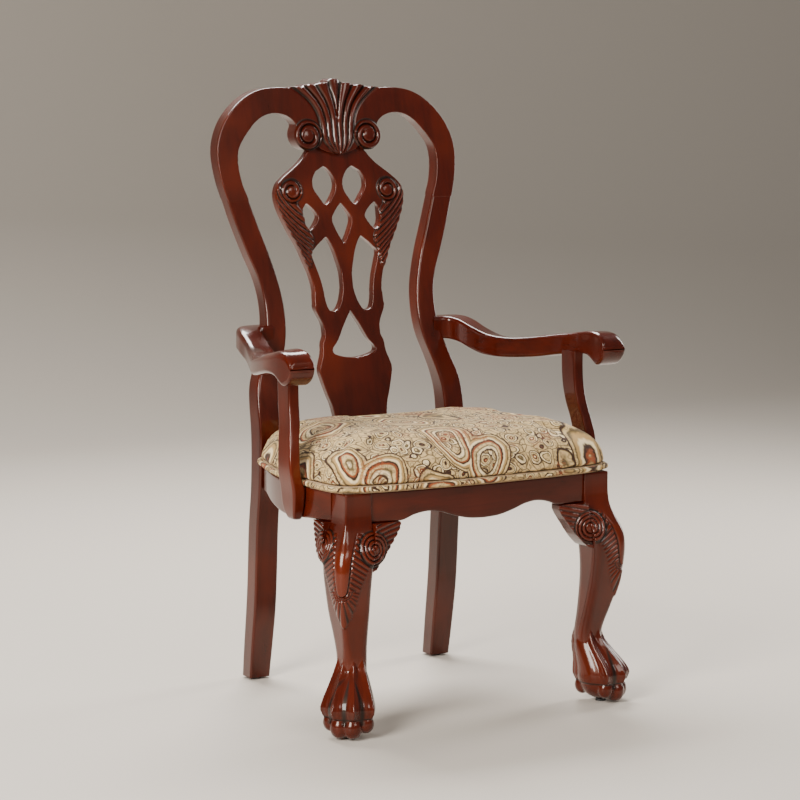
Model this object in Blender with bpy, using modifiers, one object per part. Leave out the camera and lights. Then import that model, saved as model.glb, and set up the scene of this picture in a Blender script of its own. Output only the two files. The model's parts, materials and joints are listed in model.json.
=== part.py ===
"""Carved wooden armchair with a crowned, upholstered seat.

Metres, +Z up, front towards -Y, symmetry plane x = 0. Every wooden piece is sawn the way a
chair maker saws it: an outline drawn on one face of the blank, then a second outline on the
face beside it. Shapes are given from the line between the front feet, and the empty
"armchair" carries them so that the origin lies under the middle of the whole chair.
"""

import math

import bmesh
import bpy
import numpy as np
from mathutils import Matrix, Vector

# ---------------------------------------------------------------- driving dimensions
FRONT_FEET_TO_ORIGIN = 0.2572   # from the line between the front feet back to the origin
CLEARANCE = 0.0003              # gap kept where two pieces meet
TOTAL_HEIGHT = 1.100

FLOOR_GAP = 0.004               # thickness of a glide, and so the height of the wood
SEAT_RAIL_TOP = 0.413
SEAT_RAIL_BOTTOM = 0.361
RAIL_THICKNESS = 0.022
CREST_JOINT = 0.885             # height of the joint between rear posts and crest rail

LEG_BLOCK_INNER = 0.2155        # square top of a front leg
LEG_BLOCK_OUTER = 0.2660
LEG_BLOCK_FRONT = 0.004
LEG_BLOCK_BACK = 0.0547

FOOT_CENTRE = (0.256, 0.007)
FOOT_RADIUS = 0.045
FOOT_HALF_HEIGHT = 0.034

POST_BACK_AT_SEAT = 0.407       # front face of a rear post at cushion height
SUPPORT_INNER = 0.2853          # inner face of an arm support where it laps the side rail
SHOE_TOP = 0.452                # the splat stands on its shoe at this height
BOARD_THICKNESS = 0.012
CUSHION_TOP = 0.496
COVER_THICKNESS = 0.0015
WELT_RADIUS = 0.0045

SCREW_RADIUS = 0.002
SCREW_HEAD_RADIUS = 0.004
DOWEL_RADIUS = 0.005
ROUND_SIDES = 8                 # facets round a screw, a dowel or a bore

MAHOGANY = (0.100, 0.018, 0.007)
PALE_WOOD = (0.420, 0.270, 0.140)
PLYWOOD = (0.480, 0.340, 0.190)
STEEL = (0.450, 0.440, 0.420)
BLACK = (0.020, 0.020, 0.020)
FABRIC = (0.560, 0.430, 0.260)
FOAM = (0.780, 0.740, 0.560)

SIDES = {"left": -1.0, "right": 1.0}


# ---------------------------------------------------------------- scene and small tools
def clear_scene():
    for thing in list(bpy.data.objects):
        bpy.data.objects.remove(thing, do_unlink=True)


def new_collection(name):
    collection = bpy.data.collections.new(name)
    bpy.context.scene.collection.children.link(collection)
    return collection


clear_scene()
PARTS = new_collection("armchair")
CUTTERS = new_collection("armchair_cutters")
CHAIR = bpy.data.objects.new("armchair", None)
CHAIR.location = (0.0, -FRONT_FEET_TO_ORIGIN, 0.0)
PARTS.objects.link(CHAIR)


def material(name, colour, roughness, metallic=0.0):
    made = bpy.data.materials.new(name)
    made.use_nodes = True
    shader = made.node_tree.nodes["Principled BSDF"]
    shader.inputs["Base Color"].default_value = (*colour, 1.0)
    shader.inputs["Roughness"].default_value = roughness
    shader.inputs["Metallic"].default_value = metallic
    made.diffuse_color = (*colour, 1.0)
    return made


def add_part(name, mesh, colour=MAHOGANY, roughness=0.25, metallic=0.0):
    """A finished piece: its own object and material, carried by the chair's empty."""
    part = bpy.data.objects.new(name, mesh)
    mesh.materials.clear()
    mesh.materials.append(material(name, colour, roughness, metallic))
    PARTS.objects.link(part)
    part.parent = CHAIR
    return part


def add_cutter(name, mesh):
    cutter = bpy.data.objects.new(name, mesh)
    CUTTERS.objects.link(cutter)
    cutter.parent = CHAIR
    cutter.hide_render = True
    cutter.display_type = "WIRE"
    return cutter


def boolean(part, operation, cutter):
    step = part.modifiers.new(f"{operation.lower()} {cutter.name}"[:60], "BOOLEAN")
    step.operation = operation
    step.solver = "EXACT"
    step.object = cutter


def cut(part, cutter):
    boolean(part, "DIFFERENCE", cutter)


def join(part, cutter):
    boolean(part, "UNION", cutter)


def smooth_line(points, per_span=5):
    """Points along a smooth curve through the given ones (a Catmull-Rom spline)."""
    path = np.array(points, dtype=float)
    path = np.vstack([2 * path[0] - path[1], path, 2 * path[-1] - path[-2]])
    steps = np.linspace(0.0, 1.0, per_span, endpoint=False)
    line = []
    for before, start, end, after in zip(path, path[1:], path[2:], path[3:]):
        for t in steps:
            bend = 2 * before - 5 * start + 4 * end - after
            twist = 3 * start - before - 3 * end + after
            line.append(start + 0.5 * (t * (end - before) + t * t * bend + t**3 * twist))
    line.append(path[-2])
    return [tuple(point) for point in line]


def arc(centre, radius, start, end, count=9):
    """Points on a circle from one angle to another, in degrees."""
    angles = np.radians(np.linspace(start, end, count))
    return [(centre[0] + radius * math.cos(a), centre[1] + radius * math.sin(a)) for a in angles]


def value_at(points, height):
    """The first number of each point as a function of its second, along the smooth curve."""
    line = sorted(smooth_line(points, 12), key=lambda point: point[1])
    return float(np.interp(height, [p[1] for p in line], [p[0] for p in line]))


def mirrored(points):
    """A closed symmetric outline from its right half, which runs from top to bottom centre."""
    left = [(-x, z) for x, z in reversed(points) if abs(x) > 1e-6]
    return points + left


def flipped(loops, side):
    return [[(side * u, v) for u, v in loop] for loop in loops]


# The plane in which an outline is drawn, named by the axis that it is sawn along.
TURNS = {
    "X": Matrix.Rotation(math.pi / 2, 4, "Z") @ Matrix.Rotation(math.pi / 2, 4, "X"),
    "Y": Matrix.Rotation(math.pi / 2, 4, "X"),
    "Z": Matrix.Identity(4),
}
AXES = {"X": Vector((1, 0, 0)), "Y": Vector((0, 1, 0)), "Z": Vector((0, 0, 1))}


def sawn_mesh(name, axis, loops, low, high):
    """A flat outline (with holes after the first loop) cut right through a blank."""
    curve = bpy.data.curves.new(name, "CURVE")
    curve.dimensions = "2D"
    curve.fill_mode = "BOTH"
    curve.extrude = (high - low) / 2
    for loop in loops:
        spline = curve.splines.new("POLY")
        spline.points.add(len(loop) - 1)
        for point, (u, v) in zip(spline.points, loop):
            point.co = (u, v, 0.0, 1.0)
        spline.use_cyclic_u = True
    holder = bpy.data.objects.new(name, curve)
    bpy.context.scene.collection.objects.link(holder)
    graph = bpy.context.evaluated_depsgraph_get()
    mesh = bpy.data.meshes.new_from_object(holder.evaluated_get(graph))
    bpy.data.objects.remove(holder)
    mesh.name = name
    weld(mesh)
    mesh.transform(Matrix.Translation(AXES[axis] * (low + high) / 2) @ TURNS[axis])
    return mesh


def weld(mesh):
    shape = bmesh.new()
    shape.from_mesh(mesh)
    bmesh.ops.remove_doubles(shape, verts=shape.verts, dist=1e-6)
    bmesh.ops.recalc_face_normals(shape, faces=shape.faces)
    shape.to_mesh(mesh)
    shape.free()


def sawn_piece(name, first, second, **look):
    """A piece sawn twice: (axis, loops, low, high) for the blank, then for the second cut."""
    part = add_part(name, sawn_mesh(name, *first), **look)
    boolean(part, "INTERSECT", add_cutter(f"{name}_second_cut", sawn_mesh(name, *second)))
    return part


def box_mesh(name, low, high):
    shape = bmesh.new()
    bmesh.ops.create_cube(shape, size=1.0)
    size = Vector(high) - Vector(low)
    bmesh.ops.scale(shape, vec=size, verts=shape.verts)
    bmesh.ops.translate(shape, vec=(Vector(high) + Vector(low)) / 2, verts=shape.verts)
    mesh = bpy.data.meshes.new(name)
    shape.to_mesh(mesh)
    shape.free()
    return mesh


def rod_mesh(name, start, end, radius, sides=ROUND_SIDES):
    """A plain cylinder from one point to another."""
    start = Vector(start)
    end = Vector(end)
    shape = bmesh.new()
    length = (end - start).length
    bmesh.ops.create_cone(
        shape, cap_ends=True, segments=sides, radius1=radius, radius2=radius, depth=length
    )
    turn = (end - start).to_track_quat("Z", "Y").to_matrix().to_4x4()
    mesh = bpy.data.meshes.new(name)
    shape.to_mesh(mesh)
    shape.free()
    mesh.transform(Matrix.Translation((start + end) / 2) @ turn)
    return mesh


def mirror_x(low, high, side):
    """The two corners of a box on the given side of the symmetry plane."""
    xs = sorted((side * low[0], side * high[0]))
    return (xs[0], low[1], low[2]), (xs[1], high[1], high[2])


def mortise_and_tenon(tenon_piece, mortise_piece, low, high, side=1.0):
    """A box-shaped tenon on one piece, and its pocket, a clearance larger, in the other."""
    low, high = mirror_x(low, high, side)
    name = f"{tenon_piece.name}_tenon_{mortise_piece.name}"
    join(tenon_piece, add_cutter(name, box_mesh(name, low, high)))
    gap = Vector((CLEARANCE, CLEARANCE, CLEARANCE))
    pocket = box_mesh(f"{name}_pocket", Vector(low) - gap, Vector(high) + gap)
    cut(mortise_piece, add_cutter(f"{name}_pocket", pocket))


# ---------------------------------------------------------------- fasteners
def turned(name, profile, place, direction, steps=ROUND_SIDES, **look):
    """A turned piece: (radius, height) from the top down, spun about its own Z axis."""
    mesh = bpy.data.meshes.new(name)
    points = [(radius, 0.0, height) for radius, height in profile]
    edges = [(i, i + 1) for i in range(len(points) - 1)]
    mesh.from_pydata(points, edges, [])
    part = add_part(name, mesh, **look)
    spin = part.modifiers.new("turned", "SCREW")
    spin.axis = "Z"
    spin.steps = steps
    spin.render_steps = steps
    spin.use_merge_vertices = True
    spin.merge_threshold = 0.00001
    part.location = place
    part.rotation_mode = "QUATERNION"
    part.rotation_quaternion = Vector(direction).to_track_quat("Z", "Y")
    return part


def screw(name, head, direction, length, through, into):
    """A screw whose head seats at a point, with the bores for it in the pieces it passes."""
    direction = Vector(direction).normalized()
    head = Vector(head)
    profile = [
        (0.0, length),
        (SCREW_RADIUS, length - 0.005),
        (SCREW_RADIUS, 0.0),
        (SCREW_HEAD_RADIUS, 0.0),
        (SCREW_HEAD_RADIUS * 0.8, -0.0025),
        (0.0, -0.0025),
    ]
    part = turned(name, profile, head, direction, colour=STEEL, roughness=0.35, metallic=1.0)
    bore = rod_mesh(name, head - direction * 0.001, head + direction * (length + 0.001),
                    SCREW_RADIUS + CLEARANCE)
    bore_cutter = add_cutter(f"{name}_bore", bore)
    pocket = rod_mesh(name, head - direction * 0.040, head + direction * CLEARANCE,
                      SCREW_HEAD_RADIUS + 0.0010)
    pocket_cutter = add_cutter(f"{name}_head_pocket", pocket)
    for piece in (through, into):
        cut(piece, bore_cutter)
    cut(through, pocket_cutter)
    return part


def dowel(name, start, end, pieces):
    part = add_part(name, rod_mesh(name, start, end, DOWEL_RADIUS), PALE_WOOD, 0.7)
    along = (Vector(end) - Vector(start)).normalized() * 0.001
    hole = rod_mesh(name, Vector(start) - along, Vector(end) + along, DOWEL_RADIUS + CLEARANCE)
    hole_cutter = add_cutter(f"{name}_hole", hole)
    for piece in pieces:
        cut(piece, hole_cutter)
    return part


# ---------------------------------------------------------------- the raked back
def back_face(height):
    """Front face of the raked back, at a height above the floor."""
    above = height - 0.468
    return POST_BACK_AT_SEAT + 0.2268 * above - 0.0674 * above * above


def back_slab(low, high, front, rear, steps=6):
    """Side outline of a board that follows the rake of the back."""
    heights = np.linspace(low, high, steps)
    front_edge = [(back_face(z) + front, z) for z in heights]
    rear_edge = [(back_face(z) + rear, z) for z in heights[::-1]]
    return front_edge + rear_edge


POST_OUTER = [
    (0.2145, 0.004), (0.2160, 0.080), (0.2165, 0.250), (0.2165, 0.460), (0.2165, 0.515),
    (0.2130, 0.548), (0.2020, 0.580), (0.1870, 0.625), (0.1795, 0.665), (0.1800, 0.705),
    (0.1880, 0.742), (0.2050, 0.785), (0.2250, 0.841), (0.2380, 0.885),
]
POST_INNER = [
    (0.1735, 0.004), (0.1715, 0.120), (0.1720, 0.310), (0.1745, 0.430), (0.1750, 0.507),
    (0.1700, 0.545), (0.1600, 0.580), (0.1460, 0.621), (0.1405, 0.660), (0.1420, 0.702),
    (0.1495, 0.741), (0.1620, 0.785), (0.1775, 0.830), (0.1955, 0.885),
]
POST_FRONT = [
    (0.4570, 0.004), (0.4440, 0.079), (0.4320, 0.155), (0.4220, 0.286), (0.4120, 0.360),
    (0.4070, 0.430), (0.4075, 0.475), (0.4150, 0.520), (0.4300, 0.580), (0.4480, 0.660),
    (0.4640, 0.736), (0.4810, 0.830), (0.4912, 0.885),
]
POST_REAR = [
    (0.4920, 0.004), (0.4700, 0.155), (0.4600, 0.286), (0.4500, 0.360), (0.4470, 0.440),
    (0.4520, 0.500), (0.4660, 0.580), (0.4820, 0.660), (0.4980, 0.736), (0.5130, 0.830),
    (0.5215, 0.885),
]


def rear_post(side_name):
    """Rear leg and back upright in one length, from the floor to the crest rail."""
    side = SIDES[side_name]
    front = smooth_line(POST_OUTER, 3) + smooth_line(POST_INNER, 3)[::-1]
    profile = smooth_line(POST_FRONT, 2) + smooth_line(POST_REAR, 2)[::-1]
    return sawn_piece(
        f"rear_post_{side_name}",
        ("Y", flipped([front], side), 0.38, 0.56),
        ("X", [profile], -0.30, 0.30),
    )


VOLUTE_CENTRE = (0.0625, 0.9965)
VOLUTE_RADIUS = 0.0280


def crest_outline():
    """Right half: shell top, outer hoop, joint, inner hoop, volute, foot of the shell."""
    outer = smooth_line([
        (0.000, TOTAL_HEIGHT), (0.011, 1.0980), (0.022, 1.0920), (0.050, 1.0890),
        (0.088, 1.0840), (0.122, 1.0845),
        (0.157, 1.0800), (0.187, 1.0670), (0.214, 1.0450), (0.235, 1.0180), (0.2485, 0.9850),
        (0.251, 0.9530), (0.246, 0.9150), (0.238, CREST_JOINT),
    ], 3)
    inner = smooth_line([
        (0.1955, CREST_JOINT), (0.2050, 0.9120), (0.2100, 0.9450), (0.2070, 0.9720),
        (0.1960, 0.9910), (0.1820, 1.0080), (0.1680, 1.0220), (0.1500, 1.0330),
        (0.1280, 1.0375), (0.1070, 1.0340), (0.0930, 1.0260), (0.0850, 1.0160),
    ], 3)
    volute = arc(VOLUTE_CENTRE, VOLUTE_RADIUS, 32, -135, 12)
    foot = [(0.0360, 0.9705), (0.0200, 0.9650), (0.0000, 0.9605)]
    return mirrored(outer + inner + volute + foot)


def crest_rail():
    """Hooped top rail with two volutes and a shell, carved from one glued-up blank."""
    return sawn_piece(
        "crest_rail",
        ("Y", [crest_outline()], 0.44, 0.60),
        ("X", [back_slab(CREST_JOINT, TOTAL_HEIGHT + 0.01, -0.002, 0.029)], -0.30, 0.30),
    )


SPLAT_EDGE = [
    (0.060, 0.9680), (0.077, 0.9490), (0.095, 0.9350), (0.113, 0.9220), (0.128, 0.9080),
    (0.1345, 0.8900), (0.133, 0.8720), (0.126, 0.8500), (0.112, 0.8200), (0.096, 0.7900),
    (0.086, 0.7650), (0.077, 0.7420), (0.0715, 0.7160), (0.0725, 0.6930), (0.0725, 0.6790),
    (0.067, 0.6660), (0.060, 0.6500), (0.059, 0.6310), (0.0645, 0.6170), (0.067, 0.5980),
    (0.073, 0.5810), (0.0765, 0.5670), (0.073, 0.5500), (0.065, 0.5230), (0.058, 0.5020),
    (0.053, 0.4700),
]
TOP_TEARDROP = [
    (0.0315, 0.9390), (0.0200, 0.9330), (0.0100, 0.9180), (0.0080, 0.9020), (0.0150, 0.8860),
    (0.0305, 0.8690), (0.0450, 0.8850), (0.0545, 0.9000), (0.0545, 0.9160), (0.0450, 0.9320),
]
SIDE_TEARDROP = [
    (0.0730, 0.8720), (0.0620, 0.8650), (0.0520, 0.8530), (0.0510, 0.8430), (0.0675, 0.8230),
    (0.0780, 0.8330), (0.0800, 0.8500), (0.0790, 0.8650),
]
CENTRE_LENS = [(0.0000, 0.8720), (0.0130, 0.8570), (0.0205, 0.8410), (0.0120, 0.8180), (0.0000, 0.7970)]
LONG_HOLE = [
    (0.0375, 0.8105), (0.0250, 0.7915), (0.0165, 0.7655), (0.0110, 0.7400), (0.0115, 0.7140),
    (0.0190, 0.6890), (0.0285, 0.6760), (0.0375, 0.6745), (0.0450, 0.6790), (0.0500, 0.6950),
    (0.0520, 0.7120), (0.0570, 0.7370), (0.0645, 0.7600), (0.0700, 0.7800), (0.0620, 0.7900),
    (0.0500, 0.8010),
]
VASE_HOLE = [
    (0.0000, 0.6745), (0.0165, 0.6490), (0.0315, 0.6220), (0.0440, 0.6070), (0.0420, 0.5975),
    (0.0210, 0.5905), (0.0000, 0.5880),
]


def closed_smooth(points, per_span=2):
    """A closed outline that is smooth everywhere."""
    ring = points[-2:] + points + points[:2]
    line = smooth_line(ring, per_span)
    return line[2 * per_span:-(2 * per_span + 1)]


def splat_loops():
    edge = [(0.048, 0.986)] + smooth_line(SPLAT_EDGE, 2) + [(0.050, SHOE_TOP + CLEARANCE)]
    left = [(-x, z) for x, z in edge[::-1]]
    loops = [edge + left]
    for hole in (TOP_TEARDROP, SIDE_TEARDROP, LONG_HOLE):
        ring = closed_smooth(hole, 2)
        loops.append(ring)
        loops.append([(-x, z) for x, z in ring])
    for half in (CENTRE_LENS, VASE_HOLE):
        ring = smooth_line(half, 2)
        loops.append(ring + [(-x, z) for x, z in ring[-2:0:-1]])
    return loops


def back_splat():
    """Pierced centre splat, thinner than the posts and set back from their face."""
    return sawn_piece(
        "back_splat",
        ("Y", splat_loops(), 0.38, 0.60),
        ("X", [back_slab(SHOE_TOP - 0.01, 1.000, 0.008, 0.024)], -0.30, 0.30),
    )


def splat_shoe():
    """Moulded block on the rear rail that holds the foot of the splat."""
    profile = [
        (0.4085, SEAT_RAIL_TOP + CLEARANCE), (0.4450, SEAT_RAIL_TOP + CLEARANCE),
        (0.4450, 0.425), (0.4400, 0.440), (0.4370, SHOE_TOP), (0.4110, SHOE_TOP), (0.4085, 0.445),
    ]
    return add_part("splat_shoe", sawn_mesh("splat_shoe", "X", [profile], -0.170, 0.170))


# ---------------------------------------------------------------- seat frame
SIDE_RAIL_OUTER = [
    (0.2660, 0.0543), (0.2785, 0.0900), (0.2850, 0.1350), (0.2820, 0.1900), (0.2650, 0.2700),
    (0.2370, 0.3500), (0.2090, 0.4100),
]


def side_rail_outer(y):
    return value_at(SIDE_RAIL_OUTER, y)


def side_rail_inner(y):
    return side_rail_outer(y) - RAIL_THICKNESS


def rear_seat_rail():
    """Straight rail between the rear posts."""
    low = (-0.1710, 0.4110, 0.353)
    high = (0.1710, 0.4400, SEAT_RAIL_TOP)
    return add_part("rear_seat_rail", box_mesh("rear_seat_rail", low, high))


def front_rail_bottom():
    """Serpentine lower edge: a drop in the middle and an arch on each side."""
    half = [
        (0.000, 0.3540), (0.030, 0.3560), (0.060, 0.3630), (0.085, 0.3710), (0.110, 0.3740),
        (0.135, 0.3700), (0.155, 0.3625), (0.175, SEAT_RAIL_BOTTOM), (0.2152, SEAT_RAIL_BOTTOM),
    ]
    right = smooth_line(half, 3)
    return [(-x, z) for x, z in right[::-1]] + right[1:]


def front_rail_face(x):
    """Bowed front face of the front rail."""
    return -0.008 + 0.016 * (x / LEG_BLOCK_INNER) ** 2


def front_seat_rail():
    edge = LEG_BLOCK_INNER - CLEARANCE
    outline = front_rail_bottom() + [(edge, SEAT_RAIL_TOP), (-edge, SEAT_RAIL_TOP)]
    stations = np.linspace(-edge, edge, 15)
    plan = [(x, front_rail_face(x)) for x in stations]
    plan += [(x, front_rail_face(x) + RAIL_THICKNESS) for x in stations[::-1]]
    return sawn_piece(
        "front_seat_rail",
        ("Y", [outline], -0.05, 0.08),
        ("Z", [plan], 0.30, 0.45),
    )


def side_seat_rail(side_name):
    """Bowed side rail with a serpentine lower edge, between front leg and rear post."""
    side = SIDES[side_name]
    start = LEG_BLOCK_BACK + CLEARANCE
    end = POST_BACK_AT_SEAT + 0.0006
    stations = np.linspace(start, end, 12)
    plan = [(side_rail_outer(y), y) for y in stations]
    plan += [(side_rail_inner(y), y) for y in stations[::-1]]
    bottom = smooth_line([
        (start, SEAT_RAIL_BOTTOM), (0.100, 0.3610), (0.130, 0.3590), (0.200, 0.3560),
        (0.270, 0.3620), (0.330, 0.3690), (0.380, 0.3660), (end, 0.3630),
    ], 2)
    profile = bottom + [(end, SEAT_RAIL_TOP), (start, SEAT_RAIL_TOP)]
    return sawn_piece(
        f"side_seat_rail_{side_name}",
        ("Z", flipped([plan], side), 0.30, 0.45),
        ("X", [profile], -0.40, 0.40),
    )


# Outer and inner edge of a cabriole leg on its front face; the side face has the same curve.
LEG_OUTER = [
    (0.2660, SEAT_RAIL_TOP), (0.2660, 0.385), (0.2680, 0.360), (0.2760, 0.336), (0.2860, 0.312),
    (0.2905, 0.288), (0.2895, 0.258), (0.2830, 0.215), (0.2720, 0.170), (0.2640, 0.132),
    (0.2650, 0.105), (0.2760, 0.080), (0.2880, 0.060), (0.2900, 0.036),
]
LEG_INNER = [
    (0.2155, SEAT_RAIL_TOP), (0.2155, 0.360), (0.2175, 0.330), (0.2220, 0.300), (0.2245, 0.270),
    (0.2245, 0.220), (0.2215, 0.165), (0.2185, 0.130), (0.2185, 0.105), (0.2190, 0.080),
    (0.2200, 0.060), (0.2220, 0.036),
]
LEG_CORNER_SHIFT = LEG_BLOCK_OUTER + LEG_BLOCK_FRONT   # x + y is this all along the diagonal


# Rounding of a leg's corners at a height: the diagonal ridge, the two beside it, the back one.
LEG_CORNERS = [
    (SEAT_RAIL_TOP, 0.0015, 0.0015, 0.0015), (0.362, 0.0015, 0.0015, 0.0015),
    (0.330, 0.0030, 0.0060, 0.0060), (0.290, 0.0035, 0.0100, 0.0140),
    (0.250, 0.0045, 0.0130, 0.0190), (0.200, 0.0060, 0.0130, 0.0200),
    (0.150, 0.0070, 0.0140, 0.0200), (0.110, 0.0090, 0.0150, 0.0200),
    (0.080, 0.0140, 0.0180, 0.0230), (0.036, 0.0200, 0.0230, 0.0280),
]
LEG_HEIGHTS = [
    0.036, 0.058, 0.074, 0.090, 0.106, 0.122, 0.138, 0.165, 0.195, 0.225, 0.255, 0.280, 0.300,
    0.318, 0.335, 0.350, 0.362, SEAT_RAIL_TOP,
]


def leg_ring(height, side):
    """One section of a cabriole leg: a square set on its diagonal line, its corners rounded."""
    outer = value_at(LEG_OUTER, height)
    inner = value_at(LEG_INNER, height)
    middle = (outer + inner) / 2
    half = (outer - inner) / 2
    heights = [row[0] for row in LEG_CORNERS[::-1]]
    radii = [np.interp(height, heights, [row[i] for row in LEG_CORNERS[::-1]]) for i in (1, 2, 3)]
    corners = [(1, 1, radii[0], 0), (-1, 1, radii[1], 90), (-1, -1, radii[2], 180),
               (1, -1, radii[1], 270)]
    ring = []
    for to_outside, to_front, radius, start in corners:
        centre = (to_outside * (half - radius), to_front * (half - radius))
        for u, v in arc(centre, radius, start, start + 90, 4):
            ring.append((side * (middle + u), LEG_CORNER_SHIFT - middle - v, height))
    return ring


def front_leg(side_name):
    """Cabriole leg: square block, carved knee, slim ankle, and a foot clutching a ball."""
    side = SIDES[side_name]
    name = f"front_leg_{side_name}"
    shape = bmesh.new()
    rows = [[shape.verts.new(point) for point in leg_ring(z, side)] for z in LEG_HEIGHTS]
    for lower, upper in zip(rows, rows[1:]):
        for i in range(len(lower)):
            j = (i + 1) % len(lower)
            shape.faces.new((lower[i], lower[j], upper[j], upper[i]))
    shape.faces.new(rows[0])
    shape.faces.new(rows[-1])
    bmesh.ops.recalc_face_normals(shape, faces=shape.faces)
    mesh = bpy.data.meshes.new(name)
    shape.to_mesh(mesh)
    shape.free()
    leg = add_part(name, mesh)
    centre = (side * FOOT_CENTRE[0], FOOT_CENTRE[1], FLOOR_GAP + FOOT_HALF_HEIGHT)
    join(leg, add_cutter(f"{name}_ball", ball_mesh(centre)))
    return leg


def ball_mesh(centre):
    """The foot: a slightly flattened ball with a small flat below for the glide."""
    shape = bmesh.new()
    bmesh.ops.create_uvsphere(shape, u_segments=20, v_segments=10, radius=1.0)
    bmesh.ops.scale(
        shape, vec=(FOOT_RADIUS, FOOT_RADIUS, FOOT_HALF_HEIGHT * 1.04), verts=shape.verts
    )
    bmesh.ops.translate(shape, vec=centre, verts=shape.verts)
    cut_off = bmesh.ops.bisect_plane(
        shape, geom=shape.verts[:] + shape.edges[:] + shape.faces[:],
        plane_co=(0, 0, FLOOR_GAP), plane_no=(0, 0, -1), clear_outer=True,
    )
    rim = [item for item in cut_off["geom_cut"] if isinstance(item, bmesh.types.BMEdge)]
    bmesh.ops.holes_fill(shape, edges=rim)
    bmesh.ops.recalc_face_normals(shape, faces=shape.faces)
    mesh = bpy.data.meshes.new("ball")
    shape.to_mesh(mesh)
    shape.free()
    return mesh


KNEE_BLOCK_TOP = SEAT_RAIL_BOTTOM - CLEARANCE
KNEE_BLOCK_TIP = 0.1610
KNEE_BLOCK_EDGE = [(KNEE_BLOCK_TIP, 0.3520), (0.1665, 0.3420), (0.1790, 0.3250), (0.1940, 0.3050),
                   (0.2080, 0.2900), (0.2225, 0.2780)]


def knee_block_front(side_name):
    """Ear glued under the front rail beside the leg."""
    side = SIDES[side_name]
    leg_edge = [
        (value_at(LEG_INNER, z) - CLEARANCE, z) for z in np.linspace(0.280, KNEE_BLOCK_TOP, 6)
    ]
    outline = [(KNEE_BLOCK_TIP, KNEE_BLOCK_TOP)] + smooth_line(KNEE_BLOCK_EDGE, 2)[:-1] + leg_edge
    plan = [(0.150, 0.004), (0.185, -0.002), (0.2245, -0.012), (0.2245, 0.034), (0.150, 0.026)]
    return sawn_piece(
        f"knee_block_front_{side_name}",
        ("Y", flipped([outline], side), -0.05, 0.08),
        ("Z", flipped([plan], side), 0.20, 0.40),
    )


def knee_block_side(side_name):
    """Ear glued under the side rail behind the leg."""
    side = SIDES[side_name]
    back_edge = [
        (LEG_CORNER_SHIFT - value_at(LEG_INNER, z) + CLEARANCE, z)
        for z in np.linspace(0.292, KNEE_BLOCK_TOP, 6)
    ]
    edge = smooth_line([(0.0475, 0.290), (0.0640, 0.293), (0.0770, 0.301), (0.0860, 0.318),
                        (0.0915, 0.345)], 2)
    outline = back_edge + [(0.0935, KNEE_BLOCK_TOP)] + edge[::-1][:-1]
    plan = [(0.2820, 0.0445), (0.2800, 0.075), (0.2775, 0.104), (0.2560, 0.104), (0.2400, 0.0445)]
    return sawn_piece(
        f"knee_block_side_{side_name}",
        ("X", [outline], -0.40, 0.40),
        ("Z", flipped([plan], side), 0.20, 0.40),
    )


CORNER_BLOCK_LOW = 0.377
CORNER_BLOCK_HIGH = SEAT_RAIL_TOP - 0.0002


def corner_block(name, plan, side):
    mesh = sawn_mesh(name, "Z", flipped([plan], side), CORNER_BLOCK_LOW, CORNER_BLOCK_HIGH)
    return add_part(name, mesh, PALE_WOOD, 0.75)


def front_corner_block(side_name):
    """Glue block in the corner behind a front leg."""
    inner = LEG_BLOCK_INNER - CLEARANCE
    back = LEG_BLOCK_BACK + CLEARANCE
    behind_rail = RAIL_THICKNESS + 0.0004
    plan = [(x, front_rail_face(x) + behind_rail) for x in (0.120, 0.150, 0.180, 0.200, inner)]
    plan += [
        (inner, back),
        (side_rail_inner(back) - 0.0006, back), (side_rail_inner(0.085) - 0.0006, 0.085),
        (side_rail_inner(0.115) - 0.0010, 0.115),
    ]
    return corner_block(f"corner_block_front_{side_name}", plan, SIDES[side_name])


def rear_corner_block(side_name):
    """Glue block in the corner before a rear post."""
    plan = [
        (0.095, 0.4107), (0.1725, 0.4107), (0.1725, 0.4064),
        (side_rail_inner(0.4064) - 0.0006, 0.4064), (side_rail_inner(0.372) - 0.0006, 0.372),
        (side_rail_inner(0.335) - 0.0006, 0.335),
    ]
    return corner_block(f"corner_block_rear_{side_name}", plan, SIDES[side_name])


# ---------------------------------------------------------------- arms
ARM_OUTER = [
    (0.1850, 0.4780), (0.2150, 0.4740), (0.2380, 0.4580), (0.2490, 0.4270), (0.2570, 0.3850),
    (0.2720, 0.3420), (0.2900, 0.3000), (0.3080, 0.2550), (0.3240, 0.2050), (0.3360, 0.1550),
    (0.3405, 0.1100), (0.3395, 0.0620),
]
ARM_INNER = [
    (0.1700, 0.4420), (0.1950, 0.4380), (0.2070, 0.4180), (0.2150, 0.3800), (0.2290, 0.3300),
    (0.2480, 0.2850), (0.2660, 0.2400), (0.2800, 0.1950), (0.2900, 0.1500), (0.2935, 0.1100),
    (0.2925, 0.0620),
]
ARM_TOP = [
    (0.4850, 0.6560), (0.4500, 0.6560), (0.4200, 0.6510), (0.3850, 0.6400), (0.3450, 0.6290),
    (0.3000, 0.6260), (0.2500, 0.6310), (0.2000, 0.6390), (0.1500, 0.6460), (0.1150, 0.6510),
    (0.0900, 0.6500), (0.0720, 0.6420), (0.0620, 0.6250), (0.0610, 0.6050), (0.0680, 0.5940),
]
ARM_BOTTOM = [
    (0.0680, 0.5940), (0.0820, 0.5920), (0.1000, 0.5990), (0.1200, 0.6060), (0.1500, 0.6070),
    (0.2000, 0.6000), (0.2500, 0.5920), (0.3000, 0.5880), (0.3450, 0.5900), (0.3850, 0.5980),
    (0.4200, 0.6090), (0.4500, 0.6140), (0.4850, 0.6140),
]


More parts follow.
